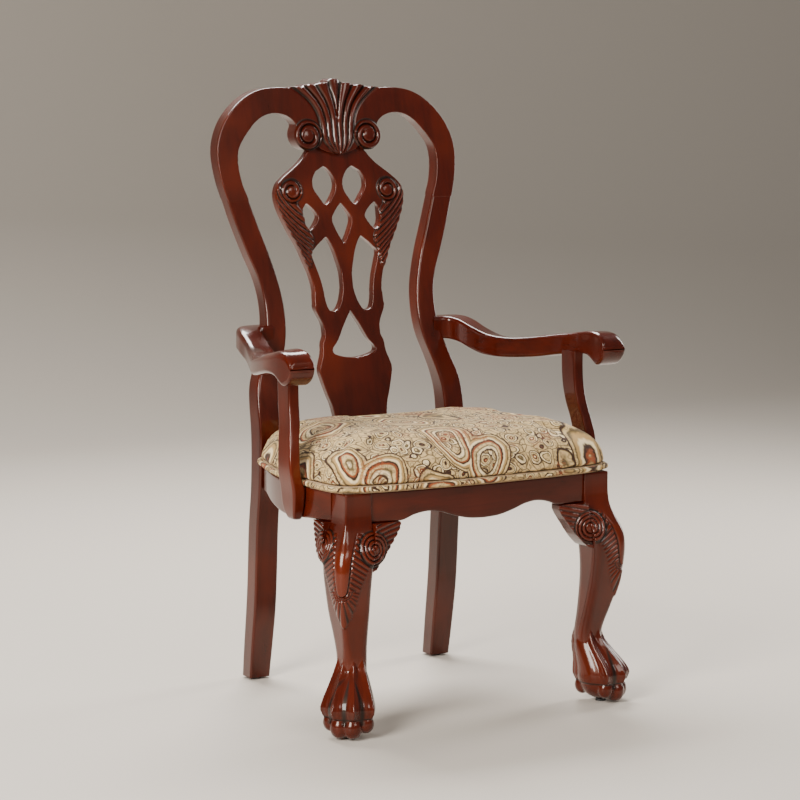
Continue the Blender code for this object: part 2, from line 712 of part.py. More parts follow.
def arm(side_name):
    """Arm rest that leaves the post sideways, sweeps out and ends in a down-turned nose."""
    side = SIDES[side_name]
    plan = smooth_line(ARM_OUTER, 2) + smooth_line(ARM_INNER, 2)[::-1]
    profile = smooth_line(ARM_TOP, 2) + smooth_line(ARM_BOTTOM, 2)[1:]
    rest = sawn_piece(
        f"arm_{side_name}",
        ("Z", flipped([plan], side), 0.56, 0.68),
        ("X", [profile], -0.40, 0.40),
    )
    outer = smooth_line(POST_OUTER, 3)
    cope = [(x + CLEARANCE, z) for x, z in outer] + [(0.10, 0.885), (0.10, 0.004)]
    cut(rest, add_cutter(f"{rest.name}_cope", sawn_mesh("cope", "Y", flipped([cope], side), 0.38, 0.52)))
    return rest


SUPPORT_OUTER = [
    (0.3010, 0.3550), (0.3060, 0.3750), (0.3090, 0.4050), (0.3130, 0.4350), (0.3130, 0.4600),
    (0.3090, 0.4920), (0.3045, 0.5200), (0.3020, 0.5600), (0.3015, 0.6100),
]
SUPPORT_BACK_TO_FRONT = {
    "front": [(0.1220, 0.3560), (0.1120, 0.3800), (0.1080, 0.4200), (0.1130, 0.4650),
              (0.1250, 0.5100), (0.1340, 0.5500), (0.1365, 0.5850), (0.1360, 0.6100)],
    "rear": [(0.1440, 0.3560), (0.1540, 0.3800), (0.1560, 0.4200), (0.1590, 0.4650),
             (0.1680, 0.5100), (0.1770, 0.5500), (0.1800, 0.5850), (0.1800, 0.6100)],
}


def arm_support(side_name):
    """Curved upright that laps the outside of the side rail and carries the arm."""
    side = SIDES[side_name]
    inner = [(SUPPORT_INNER, 0.3550), (SUPPORT_INNER, SEAT_RAIL_TOP)]
    inner += smooth_line([(0.2915, 0.4150), (0.2930, 0.4350), (0.2930, 0.4600), (0.2895, 0.4920),
                          (0.2840, 0.5200), (0.2820, 0.5600), (0.2815, 0.6100)], 2)
    front = smooth_line(SUPPORT_OUTER, 2) + inner[::-1]
    profile = smooth_line(SUPPORT_BACK_TO_FRONT["front"], 2)
    profile += smooth_line(SUPPORT_BACK_TO_FRONT["rear"], 2)[::-1]
    upright = sawn_piece(
        f"arm_support_{side_name}",
        ("Y", flipped([front], side), 0.05, 0.25),
        ("X", [profile], -0.40, 0.40),
    )
    under_arm = [(y, z - CLEARANCE) for y, z in smooth_line(ARM_BOTTOM, 2)]
    above = under_arm + [(0.485, 0.70), (0.068, 0.70)]
    cut(upright, add_cutter(f"{upright.name}_trim", sawn_mesh("trim", "X", [above], -0.40, 0.40)))
    return upright


# ---------------------------------------------------------------- seat
SEAT_EDGE = [
    (0.000, -0.0200), (0.100, -0.0160), (0.180, -0.0100), (0.235, -0.0010), (0.268, 0.0150),
    (0.281, 0.0450), (0.2850, 0.0900), (0.2858, 0.1350), (0.282, 0.1950), (0.268, 0.2700),
    (0.248, 0.3400), (0.237, 0.3720), (0.222, 0.3920), (0.195, 0.3990), (0.100, 0.4005),
    (0.000, 0.4005),
]


def seat_outline(inset, per_span=3):
    """Plan of the seat, drawn in by a distance along its own edge normal."""
    right = smooth_line(SEAT_EDGE, per_span)
    ring = np.array(right + [(-x, y) for x, y in right[-2:0:-1]])
    ahead = np.roll(ring, -1, axis=0)
    behind = np.roll(ring, 1, axis=0)
    along = ahead - behind
    along /= np.linalg.norm(along, axis=1)[:, None]
    inward = np.stack([-along[:, 1], along[:, 0]], axis=1)
    return ring + inward * inset


def seat_board():
    """Plywood under the cushion, screwed up from the corner blocks."""
    outline = [tuple(point) for point in seat_outline(0.006, 2)]
    low = SEAT_RAIL_TOP + CLEARANCE
    mesh = sawn_mesh("seat_board", "Z", [outline], low, low + BOARD_THICKNESS)
    return add_part("seat_board", mesh, PLYWOOD, 0.7)


BOARD_TOP = SEAT_RAIL_TOP + CLEARANCE + BOARD_THICKNESS
# How far in from the front and rear edges, and how far up the crown, each ring of the cushion
# lies. The rings shrink towards the middle, so they never fold at the tight rear corners.
CROWN = [(0.0078, 0.000), (0.0050, 0.200), (0.0090, 0.430), (0.0260, 0.690), (0.0650, 0.890),
         (0.1200, 0.975)]
HEM_LIFT = 0.0012               # the cover's hem stops this far above the board
SEAT_MIDDLE = np.array([0.0, 0.19])
SEAT_HALF_DEPTH = 0.21


def crown_rings(offset, lift):
    """Rings of the cushion's skin, moved outwards by an offset and started at a lift."""
    low = BOARD_TOP + CLEARANCE
    rise = CUSHION_TOP - COVER_THICKNESS - CLEARANCE - low
    rings = []
    for inset, part_up in CROWN:
        share = 1.0 - inset / SEAT_HALF_DEPTH
        ring = SEAT_MIDDLE + (seat_outline(-offset, 2) - SEAT_MIDDLE) * share
        height = low + max(lift, rise * part_up + (offset if part_up > 0.4 else 0.0))
        rings.append([(x, y, height) for x, y in ring])
    return rings, low + rise + offset


def skin_mesh(name, offset, lift, closed):
    """A crowned skin over the seat's outline, with a flat base if it is closed."""
    rings, top = crown_rings(offset, lift)
    shape = bmesh.new()
    rows = [[shape.verts.new(point) for point in ring] for ring in rings]
    for lower, upper in zip(rows, rows[1:]):
        for i in range(len(lower)):
            j = (i + 1) % len(lower)
            shape.faces.new((lower[i], lower[j], upper[j], upper[i]))
    peak = shape.verts.new((0.0, 0.19, top))
    last = rows[-1]
    for i in range(len(last)):
        shape.faces.new((last[i], last[(i + 1) % len(last)], peak))
    if closed:
        shape.faces.new(rows[0][::-1])
    bmesh.ops.recalc_face_normals(shape, faces=shape.faces)
    if not closed and shape.faces[0].normal.z + shape.faces[0].normal.y > 0.5:
        bmesh.ops.reverse_faces(shape, faces=shape.faces)
    mesh = bpy.data.meshes.new(name)
    shape.to_mesh(mesh)
    shape.free()
    return mesh


def seat_foam():
    part = add_part("seat_foam", skin_mesh("seat_foam", 0.0, 0.0, True), FOAM, 0.95)
    part.data.shade_smooth()
    return part


def seat_cover():
    """Patterned fabric drawn over the foam: a thin shell, open below."""
    part = add_part("seat_cover", skin_mesh("seat_cover", 2 * CLEARANCE, HEM_LIFT, False), FABRIC, 0.9)
    skin = part.modifiers.new("cloth thickness", "SOLIDIFY")
    skin.thickness = COVER_THICKNESS
    skin.offset = 1.0
    return part


def seat_welt():
    """Self-covered piping round the foot of the cushion, a closed ring of cord."""
    curve = bpy.data.curves.new("seat_welt", "CURVE")
    curve.dimensions = "3D"
    curve.bevel_depth = WELT_RADIUS
    curve.bevel_resolution = 1
    ring = seat_outline(0.0008, 2)
    spline = curve.splines.new("POLY")
    spline.points.add(len(ring) - 1)
    for point, (x, y) in zip(spline.points, ring):
        point.co = (x, y, SEAT_RAIL_TOP + 0.0075, 1.0)
    spline.use_cyclic_u = True
    part = bpy.data.objects.new("seat_welt", curve)
    curve.materials.append(material("seat_welt", FABRIC, 0.9))
    PARTS.objects.link(part)
    part.parent = CHAIR
    return part


def dust_cover():
    """Black cambric under the board, inside the rails and clear of the corner blocks."""
    outline = [(0.110, 0.040), (0.238, 0.135), (0.216, 0.320), (0.085, 0.400)]
    outline += [(-x, y) for x, y in outline[::-1]]
    low = SEAT_RAIL_TOP - 0.0010
    mesh = sawn_mesh("dust_cover", "Z", [outline], low, SEAT_RAIL_TOP)
    return add_part("dust_cover", mesh, BLACK, 0.95)


# ---------------------------------------------------------------- glides
def glide(name, x, y, foot):
    """Nail-on glide: a hard disc under the foot, with its nail up into the wood."""
    profile = [
        (0.0, 0.016), (0.0012, 0.014), (0.0012, FLOOR_GAP - CLEARANCE),
        (0.0095, FLOOR_GAP - CLEARANCE), (0.0095, 0.0), (0.0, 0.0),
    ]
    part = turned(name, profile, (x, y, 0.0), (0, 0, 1), steps=16, colour=BLACK, roughness=0.5)
    hole = rod_mesh(name, (x, y, 0.002), (x, y, 0.0165), 0.0012 + CLEARANCE)
    cut(foot, add_cutter(f"{name}_hole", hole))
    return part


# ---------------------------------------------------------------- assembly
def seat_frame_joints(posts, legs, front_rail, rear_rail, side_rails):
    """Mortise and tenon joints of the seat frame."""
    for side_name, side in SIDES.items():
        leg = legs[side_name]
        post = posts[side_name]
        rail = side_rails[side_name]
        mortise_and_tenon(front_rail, leg, (0.205, 0.0150, 0.370), (0.2360, 0.0240, 0.404), side)
        mortise_and_tenon(rail, leg, (0.2490, 0.0400, 0.370), (0.2580, 0.0620, 0.404), side)
        mortise_and_tenon(rail, post, (0.1935, 0.4020, 0.371), (0.2035, 0.4250, 0.405), side)
        mortise_and_tenon(rear_rail, post, (0.1600, 0.4180, 0.362), (0.1860, 0.4300, 0.404), side)


def seat_fasteners(side_name, front_block, rear_block, front_rail, rear_rail, side_rail, board):
    """Screws through the corner blocks: up into the seat board and out into the rails."""
    side = SIDES[side_name]
    screw(f"seat_screw_front_{side_name}", (side * 0.205, 0.062, 0.383), (0, 0, 1), 0.038,
          front_block, board)
    screw(f"seat_screw_rear_{side_name}", (side * 0.170, 0.390, 0.383), (0, 0, 1), 0.038,
          rear_block, board)
    screw(f"block_screw_front_a_{side_name}", (side * 0.180, 0.050, 0.395), (0, -1, 0), 0.032,
          front_block, front_rail)
    screw(f"block_screw_front_b_{side_name}", (side * 0.234, 0.082, 0.395), (side, 0, 0), 0.030,
          front_block, side_rail)
    screw(f"block_screw_rear_a_{side_name}", (side * 0.140, 0.398, 0.395), (0, 1, 0), 0.030,
          rear_block, rear_rail)
    screw(f"block_screw_rear_b_{side_name}", (side * 0.194, 0.372, 0.395), (side, 0, 0), 0.028,
          rear_block, side_rail)


def arm_fasteners(side_name, rest, upright, post, side_rail):
    side = SIDES[side_name]
    screw(f"arm_screw_{side_name}", (side * 0.1500, 0.4600, 0.636), (side, 0, 0), 0.060, post, rest)
    for label, height in (("low", 0.374), ("high", 0.400)):
        screw(f"support_screw_{label}_{side_name}", (side * 0.2660, 0.1330, height),
              (side, 0, 0), 0.032, side_rail, upright)
    dowel(f"support_dowel_{side_name}", (side * 0.2915, 0.158, 0.590), (side * 0.2915, 0.158, 0.622),
          (upright, rest))


def crest_dowels(side_name, post, crest):
    side = SIDES[side_name]
    for label, x in (("inner", 0.2080), ("outer", 0.2260)):
        dowel(f"crest_dowel_{label}_{side_name}", (side * x, 0.5060, 0.868), (side * x, 0.5060, 0.902),
              (post, crest))


def build():
    posts = {name: rear_post(name) for name in SIDES}
    crest = crest_rail()
    splat = back_splat()
    shoe = splat_shoe()
    legs = {name: front_leg(name) for name in SIDES}
    front_rail = front_seat_rail()
    rear_rail = rear_seat_rail()
    side_rails = {name: side_seat_rail(name) for name in SIDES}
    board = seat_board()
    seat_frame_joints(posts, legs, front_rail, rear_rail, side_rails)
    under_crest = sawn_mesh("under_crest", "Y", [[(x, z - CLEARANCE) for x, z in crest_outline()]],
                            0.40, 0.62)
    cut(splat, add_cutter("under_crest", under_crest))
    mortise_and_tenon(splat, crest, (-0.026, 0.5060, 0.950), (0.026, 0.5150, 0.978))
    foot_low = (-0.045, 0.4180, 0.430)
    mortise_and_tenon(splat, shoe, foot_low, (0.045, 0.4260, 0.456))
    for name, side in SIDES.items():
        rest = arm(name)
        upright = arm_support(name)
        knee_block_front(name)
        knee_block_side(name)
        front_block = front_corner_block(name)
        rear_block = rear_corner_block(name)
        seat_fasteners(name, front_block, rear_block, front_rail, rear_rail, side_rails[name], board)
        arm_fasteners(name, rest, upright, posts[name], side_rails[name])
        crest_dowels(name, posts[name], crest)
        glide(f"glide_front_{name}", side * FOOT_CENTRE[0], FOOT_CENTRE[1], legs[name])
        glide(f"glide_rear_{name}", side * 0.1940, 0.4740, posts[name])
    seat_foam()
    seat_cover()
    seat_welt()
    dust_cover()


build()
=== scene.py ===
# %% [markdown]
# # A carved mahogany armchair
#
# The chair stands on two cabriole legs that clutch a ball and two raked rear legs that carry on
# up as the posts of the back. A hooped crest rail with a fluted shell joins them, a pierced
# splat stands between them, and two swept arms reach forward to curved supports. The seat is a
# crowned cushion in a paisley cloth.
#
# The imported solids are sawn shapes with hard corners. Most of the visible wood is rebuilt here
# round nearly the same outlines, with eased edges and real carving. Some levels are read from
# the boxes of the solids.

import json
import math

import bmesh
import bpy
import numpy as np
from mathutils import Euler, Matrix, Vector


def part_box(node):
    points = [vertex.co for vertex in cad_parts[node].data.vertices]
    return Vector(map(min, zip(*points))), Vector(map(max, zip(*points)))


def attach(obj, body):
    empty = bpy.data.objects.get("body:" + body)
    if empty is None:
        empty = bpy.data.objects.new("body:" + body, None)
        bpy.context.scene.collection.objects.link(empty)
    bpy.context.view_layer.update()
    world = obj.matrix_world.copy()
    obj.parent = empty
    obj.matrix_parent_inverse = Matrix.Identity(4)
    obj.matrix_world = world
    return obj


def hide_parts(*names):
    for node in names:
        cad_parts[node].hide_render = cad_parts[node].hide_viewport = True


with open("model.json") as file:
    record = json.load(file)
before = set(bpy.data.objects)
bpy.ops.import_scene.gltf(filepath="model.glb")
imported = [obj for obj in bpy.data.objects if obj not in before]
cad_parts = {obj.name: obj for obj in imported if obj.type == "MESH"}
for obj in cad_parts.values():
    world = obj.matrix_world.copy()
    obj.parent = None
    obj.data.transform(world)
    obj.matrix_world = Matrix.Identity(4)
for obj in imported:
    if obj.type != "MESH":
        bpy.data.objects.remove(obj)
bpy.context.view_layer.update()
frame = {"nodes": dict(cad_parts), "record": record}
MOUNTS = {mount["name"]: mount["pos_m"] for mount in frame["record"]["mounts"]}
FOOT_BEHIND_LINE = 0.007
FRONT_LINE = MOUNTS["floor_front_right"][1] - FOOT_BEHIND_LINE
SIDES = {"left": -1.0, "right": 1.0}
print("nodes:", len(frame["nodes"]), "line of the front feet at y =", round(FRONT_LINE, 4))

# %% [markdown]
# ## Writing a finish as an expression
#
# A finish is a tree of nodes. Drawn by hand it grows into a tangle, so here one small class
# stands for the output of a node. Adding or multiplying two of them adds the Math node that
# does it, and one method makes every other kind of node. The tree then reads like arithmetic.


# %% Sockets that can be added and multiplied
class Value:
    """The output of a node, for use in an expression."""

    def __init__(self, finish, socket):
        self.finish = finish
        self.socket = socket

    def math(self, operation, *others):
        terms = dict(enumerate((self, *others)))
        return self.finish.node("Math", {"operation": operation}, terms)

    def __add__(self, other):
        return self.math("ADD", other)

    __radd__ = __add__

    def __mul__(self, other):
        return self.math("MULTIPLY", other)

    __rmul__ = __mul__

    def __sub__(self, other):
        return self.math("SUBTRACT", other)

    def __rsub__(self, other):
        return self.finish.node("Math", {"operation": "SUBTRACT"}, {0: other, 1: self})

    def rise(self, low, high):
        """0 below low, 1 above high, and a smooth step between them."""
        settings = {"interpolation_type": "SMOOTHSTEP"}
        sockets = {"Value": self, "From Min": low, "From Max": high}
        return self.finish.node("MapRange", settings, sockets)


class Finish:
    """A material under construction, with one Principled shader."""

    def __init__(self, name):
        self.material = bpy.data.materials.new(name)
        self.material.use_nodes = True
        self.tree = self.material.node_tree
        self.tree.nodes.clear()
        self.shader = self.tree.nodes.new("ShaderNodeBsdfPrincipled")
        output = self.tree.nodes.new("ShaderNodeOutputMaterial")
        self.tree.links.new(self.shader.outputs["BSDF"], output.inputs["Surface"])

    def node(self, kind, settings=None, sockets=None, output=0):
        made = self.tree.nodes.new("ShaderNode" + kind)
        for key, value in (settings or {}).items():
            if key == "stops":
                self.fill_ramp(made.color_ramp, value)
            else:
                setattr(made, key, value)
        for key, value in (sockets or {}).items():
            self.feed(made.inputs[key], value)
        return Value(self, made.outputs[output])

    def fill_ramp(self, ramp, stops):
        while len(ramp.elements) < len(stops):
            ramp.elements.new(0.5)
        for element, (position, colour) in zip(ramp.elements, stops):
            element.position = position
            element.color = (*colour, 1.0)

    def feed(self, socket, value):
        if isinstance(value, Value):
            self.tree.links.new(value.socket, socket)
        elif isinstance(value, tuple) and len(value) == 3 and socket.type == "RGBA":
            socket.default_value = (*value, 1.0)
        else:
            socket.default_value = value

    def set(self, **sockets):
        for name, value in sockets.items():
            self.feed(self.shader.inputs[name.replace("_", " ")], value)

    def place(self, stretch=(1.0, 1.0, 1.0)):
        """The point on the object, stretched along its axes."""
        spot = self.node("TexCoord", output=3)
        return self.node("VectorMath", {"operation": "MULTIPLY"}, {0: spot, 1: stretch})

    def noise(self, where, scale, detail=4.0, roughness=0.55, distortion=0.0, output=0):
        sockets = {"Vector": where, "Scale": scale, "Detail": detail,
                   "Roughness": roughness, "Distortion": distortion}
        return self.node("TexNoise", None, sockets, output)

    def mix(self, first, second, amount):
        """A colour between two, by an amount from 0 to 1."""
        settings = {"data_type": "RGBA", "blend_type": "MIX"}
        return self.node("Mix", settings, {0: amount, 6: first, 7: second}, output=2)

    def bump(self, height, strength, distance):
        sockets = {"Height": height, "Strength": strength, "Distance": distance}
        self.set(Normal=self.node("Bump", None, sockets))


# %% [markdown]
# ## The lacquered mahogany
#
# The real finish is built up in coats: a red-brown stain, a near-black glaze that is wiped off
# the high places and stays in the carving, and a clear gloss lacquer. The same order works in
# the shader. The carving writes how deep each point lies into an attribute called hollow, and
# the glaze reads it. Grain runs along a piece, so the noise is stretched along that axis.

# %% Mahogany, with its grain along any axis
STAIN_DEEP = (0.029, 0.0024, 0.0005)
STAIN_MID = (0.056, 0.0042, 0.0007)
STAIN_BRIGHT = (0.130, 0.0140, 0.0018)
GLAZE = (0.0050, 0.0012, 0.0006)
WARM_SHEEN = (1.0, 0.80, 0.62)
GRAIN_STRETCH = {"X": (0.10, 1.0, 1.0), "Y": (1.0, 0.10, 1.0), "Z": (1.0, 1.0, 0.10)}


def mahogany(name, along):
    finish = Finish(name)
    board = finish.place(GRAIN_STRETCH[along])
    streak = finish.noise(board, 75.0, 6.0, 0.62, 0.6)
    figure = finish.noise(board, 14.0, 3.0, 0.5, 1.4)
    cloud = finish.noise(finish.place(), 6.0, 2.0)
    pore = finish.noise(board, 620.0, 2.0, 0.7)
    hollow = finish.node("Attribute", {"attribute_name": "hollow"}, None, output=2)
    worn = finish.node("Attribute", {"attribute_name": "worn"}, None, output=2)
    stain = finish.mix(STAIN_DEEP, STAIN_MID, (0.55 * streak + 0.45 * figure).rise(0.30, 0.66))
    stain = finish.mix(stain, STAIN_BRIGHT, cloud.rise(0.45, 0.75) * 0.45)
    stain = finish.mix(stain, STAIN_BRIGHT, worn * 0.60)
    stain = finish.mix(stain, GLAZE, pore.rise(0.66, 0.80) * 0.30)
    finish.set(Base_Color=finish.mix(stain, GLAZE, hollow.rise(0.15, 0.85)))
    finish.set(Roughness=0.20 + 0.08 * cloud + 0.25 * hollow)
    finish.set(Coat_Weight=0.42, Coat_Roughness=0.035, Specular_IOR_Level=0.24,
               Specular_Tint=WARM_SHEEN)
    finish.bump(0.7 * pore + 0.3 * streak, 0.07, 0.0003)
    return finish.material


WOOD = {along: mahogany(f"mahogany_grain_{along}", along) for along in "XYZ"}
print("mahogany finishes:", sorted(material.name for material in WOOD.values()))

# %% [markdown]
# ## Lines, sections and lofts
#
# A chair maker draws a curve through a few measured points. A Catmull-Rom spline does the same
# and never leaves the points. Most pieces then come from one idea: set a rounded section at
# each of many stations along such curves and skin them. A loft keeps its edge radius even along
# a bend, which is what makes a lacquered edge read as one clean line of light.


# %% Smooth lines
def smooth_line(points, per_span=12):
    """Points along a smooth curve through the given ones."""
    path = np.array(points, dtype=float)
    path = np.vstack([2 * path[0] - path[1], path, 2 * path[-1] - path[-2]])
    steps = np.linspace(0.0, 1.0, per_span, endpoint=False)[:, None]
    spans = []
    for before, start, end, after in zip(path, path[1:], path[2:], path[3:]):
        bend = 2 * before - 5 * start + 4 * end - after
        twist = 3 * start - before - 3 * end + after
        spans.append(start + 0.5 * (steps * (end - before) + steps**2 * bend + steps**3 * twist))
    return np.vstack(spans + [path[-2:-1]])


def read_at(points, where):
    """The first number of each point as a smooth function of its second."""
    line = smooth_line(points)
    order = np.argsort(line[:, 1])
    return np.interp(where, line[order, 1], line[order, 0])


def lengths_along(line):
    """How far along a line each of its points lies."""
    return np.concatenate([[0.0], np.cumsum(np.linalg.norm(np.diff(line, axis=0), axis=1))])


def along_line(points, share):
    """The point at a share of a smooth line's length, from 0 to 1."""
    line = smooth_line(points)
    lengths = lengths_along(line)
    lengths /= lengths[-1]
    return np.stack([np.interp(share, lengths, line[:, i]) for i in range(2)], axis=-1)


def step(low, high, value):
    """A smooth step from 0 to 1, for arrays."""
    share = np.clip((value - low) / (high - low), 0.0, 1.0)
    return share * share * (3 - 2 * share)


print("a line through 3 points gets", len(smooth_line([(0, 0), (1, 1), (2, 0)])), "points")

# %% Rounded sections and the loft
FLAT_START = 0.0014     # a point this far along each flat keeps the flat from looking pillowed
CARVED_ANGLE = 60.0     # a carved face is shaded smooth over edges up to this angle


def rounded_section(width, height, radii, steps=4):
    """Points round a rectangle. Radii are for the corners (+,+), (-,+), (-,-) and (+,-)."""
    ring = []
    corners = ((1, 1), (-1, 1), (-1, -1), (1, -1))
    for number, ((u_side, v_side), radius) in enumerate(zip(corners, radii)):
        centre = np.array([u_side * (width / 2 - radius), v_side * (height / 2 - radius)])
        angles = np.radians(90.0 * number + np.linspace(0.0, 90.0, steps + 1))
        points = centre + radius * np.stack([np.cos(angles), np.sin(angles)], axis=1)
        way_in = np.array([-math.sin(angles[0]), math.cos(angles[0])])
        way_out = np.array([-math.sin(angles[-1]), math.cos(angles[-1])])
        ring.extend([points[0] - way_in * FLAT_START, *points, points[-1] + way_out * FLAT_START])
    return np.array(ring)


def new_piece(name, mesh, finish, smooth_angle=38.0):
    """An object that shows smooth faces between its sharp edges."""
    mesh.shade_smooth()
    mesh.set_sharp_from_angle(angle=math.radians(smooth_angle))
    mesh.materials.clear()
    mesh.materials.append(finish)
    piece = bpy.data.objects.new(name, mesh)
    bpy.context.scene.collection.objects.link(piece)
    return piece


def cleaned(mesh, weld=0.0, outwards=True):
    """The mesh with points closer than a distance made one and its faces turned outwards."""
    shape = bmesh.new()
    shape.from_mesh(mesh)
    if weld:
        bmesh.ops.remove_doubles(shape, verts=shape.verts, dist=weld)
    if outwards:
        bmesh.ops.recalc_face_normals(shape, faces=shape.faces)
    shape.to_mesh(mesh)
    shape.free()
    return mesh


def mesh_from(name, points, faces):
    """A mesh from points given from the line of the front feet."""
    mesh = bpy.data.meshes.new(name)
    placed = np.array(points, dtype=float) + np.array([0.0, FRONT_LINE, 0.0])
    mesh.from_pydata(placed.tolist(), [], faces)
    return cleaned(mesh)


def skin(rings, closed=False):
    """Faces between rings of points, with a cap on each end if the run isn't closed."""
    rings = np.array(rings, dtype=float)
    count, around, _ = rings.shape
    faces = []
    for i in range(count if closed else count - 1):
        for j in range(around):
            k = (j + 1) % around
            n = (i + 1) % count
            faces.append((i * around + j, i * around + k, n * around + k, n * around + j))
    if not closed:
        faces.append(tuple(range(around)))
        faces.append(tuple(range((count - 1) * around, count * around)))
    return rings.reshape(-1, 3), faces


def loft(name, rings, finish, closed=False):
    return new_piece(name, mesh_from(name, *skin(rings, closed)), finish)


def upright_ring(tables, height, radii, side, blunt=1.0):
    """A section of an upright between its outer, inner, front and rear lines."""
    x_out, x_in, y_front, y_rear = [read_at(table, height) for table in tables]
    ring = rounded_section((x_out - x_in) * blunt, (y_rear - y_front) * blunt, radii)
    ring += (x_in + (x_out - x_in) * blunt / 2, (y_front + y_rear) / 2)
    return [(side * x, y, height) for x, y in ring]


def finished(piece, slot, *nodes):
    """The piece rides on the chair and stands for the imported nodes."""
    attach(piece, "root")
    if nodes:
        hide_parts(*nodes)
    print(f"{piece.name}: {len(piece.data.polygons)} faces")
    return piece


# %% [markdown]
# ## The rear posts
#
# Each post is one stick: a leg that rakes backwards below the seat and an upright that leans
# and waves above it. Four curves describe it, the outer and inner edge seen from the front and
# the front and back seen from the side. A section at each height follows all four.

# %% Rear posts
POST_OUTER = [
    (0.2145, 0.004), (0.2160, 0.080), (0.2165, 0.250), (0.2165, 0.460), (0.2165, 0.515),
    (0.2130, 0.548), (0.2020, 0.580), (0.1870, 0.625), (0.1795, 0.665), (0.1800, 0.705),
    (0.1880, 0.742), (0.2050, 0.785), (0.2250, 0.841), (0.2380, 0.885),
]
POST_INNER = [
    (0.1735, 0.004), (0.1715, 0.120), (0.1720, 0.310), (0.1745, 0.430), (0.1750, 0.507),
    (0.1700, 0.545), (0.1600, 0.580), (0.1460, 0.621), (0.1405, 0.660), (0.1420, 0.702),
    (0.1495, 0.741), (0.1620, 0.785), (0.1775, 0.830), (0.1955, 0.885),
]
POST_FRONT = [
    (0.4570, 0.004), (0.4440, 0.079), (0.4320, 0.155), (0.4220, 0.286), (0.4120, 0.360),
    (0.4070, 0.430), (0.4075, 0.475), (0.4150, 0.520), (0.4300, 0.580), (0.4480, 0.660),
    (0.4640, 0.736), (0.4798, 0.830), (0.4882, 0.885),
]
POST_REAR = [
    (0.4920, 0.004), (0.4700, 0.155), (0.4600, 0.286), (0.4500, 0.360), (0.4470, 0.440),
    (0.4520, 0.500), (0.4660, 0.580), (0.4820, 0.660), (0.4980, 0.736), (0.5118, 0.830),
    (0.5190, 0.885),
]
POST_LINES = (POST_OUTER, POST_INNER, POST_FRONT, POST_REAR)
POST_EDGES = (0.0050, 0.0050, 0.0042, 0.0042)
POST_STATIONS = 130


def rear_post(side_name):
    low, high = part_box(f"rear_post_{side_name}")
    rings = [upright_ring(POST_LINES, height, POST_EDGES, SIDES[side_name])
             for height in np.linspace(low.z, high.z, POST_STATIONS)]
    post = loft(f"post_{side_name}", rings, WOOD["Z"])
    return finished(post, "carved_wood", f"rear_post_{side_name}")


for side_name in SIDES:
    rear_post(side_name)

# %% [markdown]
# ## Carving a board
#
# The crest and the splat are boards with carving on their face. To carve in code, the board
# needs points everywhere the chisel goes. A voxel remesh lays an even net over the sawn board,
# a light smoothing eases its edges, and then every point of the face moves forward by a height
# that is a plain function of where it is. The board is carved flat and then leaned back.


# %% Boards with an even net of points
def sawn_board(name, loops, thickness):
    """A flat board, face up: x stays x, the height becomes y, and the thickness runs down z."""
    curve = bpy.data.curves.new(name, "CURVE")
    curve.dimensions = "2D"
    curve.fill_mode = "BOTH"
    curve.extrude = thickness / 2
    for loop in loops:
        spline = curve.splines.new("POLY")
        spline.points.add(len(loop) - 1)
        for point, (u, v) in zip(spline.points, loop):
            point.co = (u, v, -thickness / 2, 1.0)
        spline.use_cyclic_u = True
    holder = bpy.data.objects.new(name, curve)
    bpy.context.scene.collection.objects.link(holder)
    mesh = evaluated_mesh(holder)
    bpy.data.objects.remove(holder)
    return cleaned(mesh, 1e-6)


def evaluated_mesh(holder):
    graph = bpy.context.evaluated_depsgraph_get()
    return bpy.data.meshes.new_from_object(holder.evaluated_get(graph))


def even_net(mesh, voxel, easing):
    """The mesh with an even net of points, its edges eased by some rounds of smoothing."""
    holder = bpy.data.objects.new("net", mesh)
    bpy.context.scene.collection.objects.link(holder)
    remesh = holder.modifiers.new("even net", "REMESH")
    remesh.mode = "VOXEL"
    remesh.voxel_size = voxel
    smooth = holder.modifiers.new("eased edges", "SMOOTH")
    smooth.factor = 0.5
    smooth.iterations = easing
    netted = evaluated_mesh(holder)
    bpy.data.objects.remove(holder)
    return netted


def points_of(mesh):
    points = np.zeros(len(mesh.vertices) * 3)
    mesh.vertices.foreach_get("co", points)
    return points.reshape(-1, 3)


def normals_of(mesh):
    normals = np.zeros(len(mesh.vertices) * 3)
    mesh.vertex_normals.foreach_get("vector", normals)
    return normals.reshape(-1, 3)


def move_points(mesh, points):
    mesh.vertices.foreach_set("co", points.reshape(-1))
    mesh.update()


def store(mesh, name, values):
    """Keeps a number for each point, which a finish can read."""
    attribute = mesh.attributes.new(name, "FLOAT", "POINT")
    attribute.data.foreach_set("value", np.clip(values, 0.0, 1.0).astype(np.float32))


def closed_ring(points, per_span=8):
    """A closed outline that is smooth everywhere."""
    line = smooth_line(points[-2:] + points + points[:2], per_span)
    return line[2 * per_span:-(2 * per_span + 1)]


def both_halves(right):
    """A closed symmetric outline from its right half, from top to bottom."""
    right = np.array(right)
    left = right[::-1] * (-1.0, 1.0)
    return np.vstack([right, left[np.abs(left[:, 0]) > 1e-6]])


# %% The lean of the back
POST_BACK_AT_SEAT = 0.407
SEAT_LEVEL = 0.468


def back_face(height):
    above = height - SEAT_LEVEL
    return POST_BACK_AT_SEAT + 0.2268 * above - 0.0674 * above * above


def lean_back(points, front):
    """Board points (x, height, -depth) in their place in the chair's back."""
    x, height, depth = points[:, 0], points[:, 1], -points[:, 2]
    return np.stack([x, back_face(height) + front + depth + FRONT_LINE, height], axis=1)


# %% [markdown]
# ## The crest rail
#
# The hoop swells out of two volutes. Between them a shell fans upwards in seven ribs. A rib is
# round on top with a sharp valley on each side, so its height is a parabola across the rib, and
# the valleys of all the ribs meet the top edge as notches. The volute is one groove that winds
# inwards to a button.

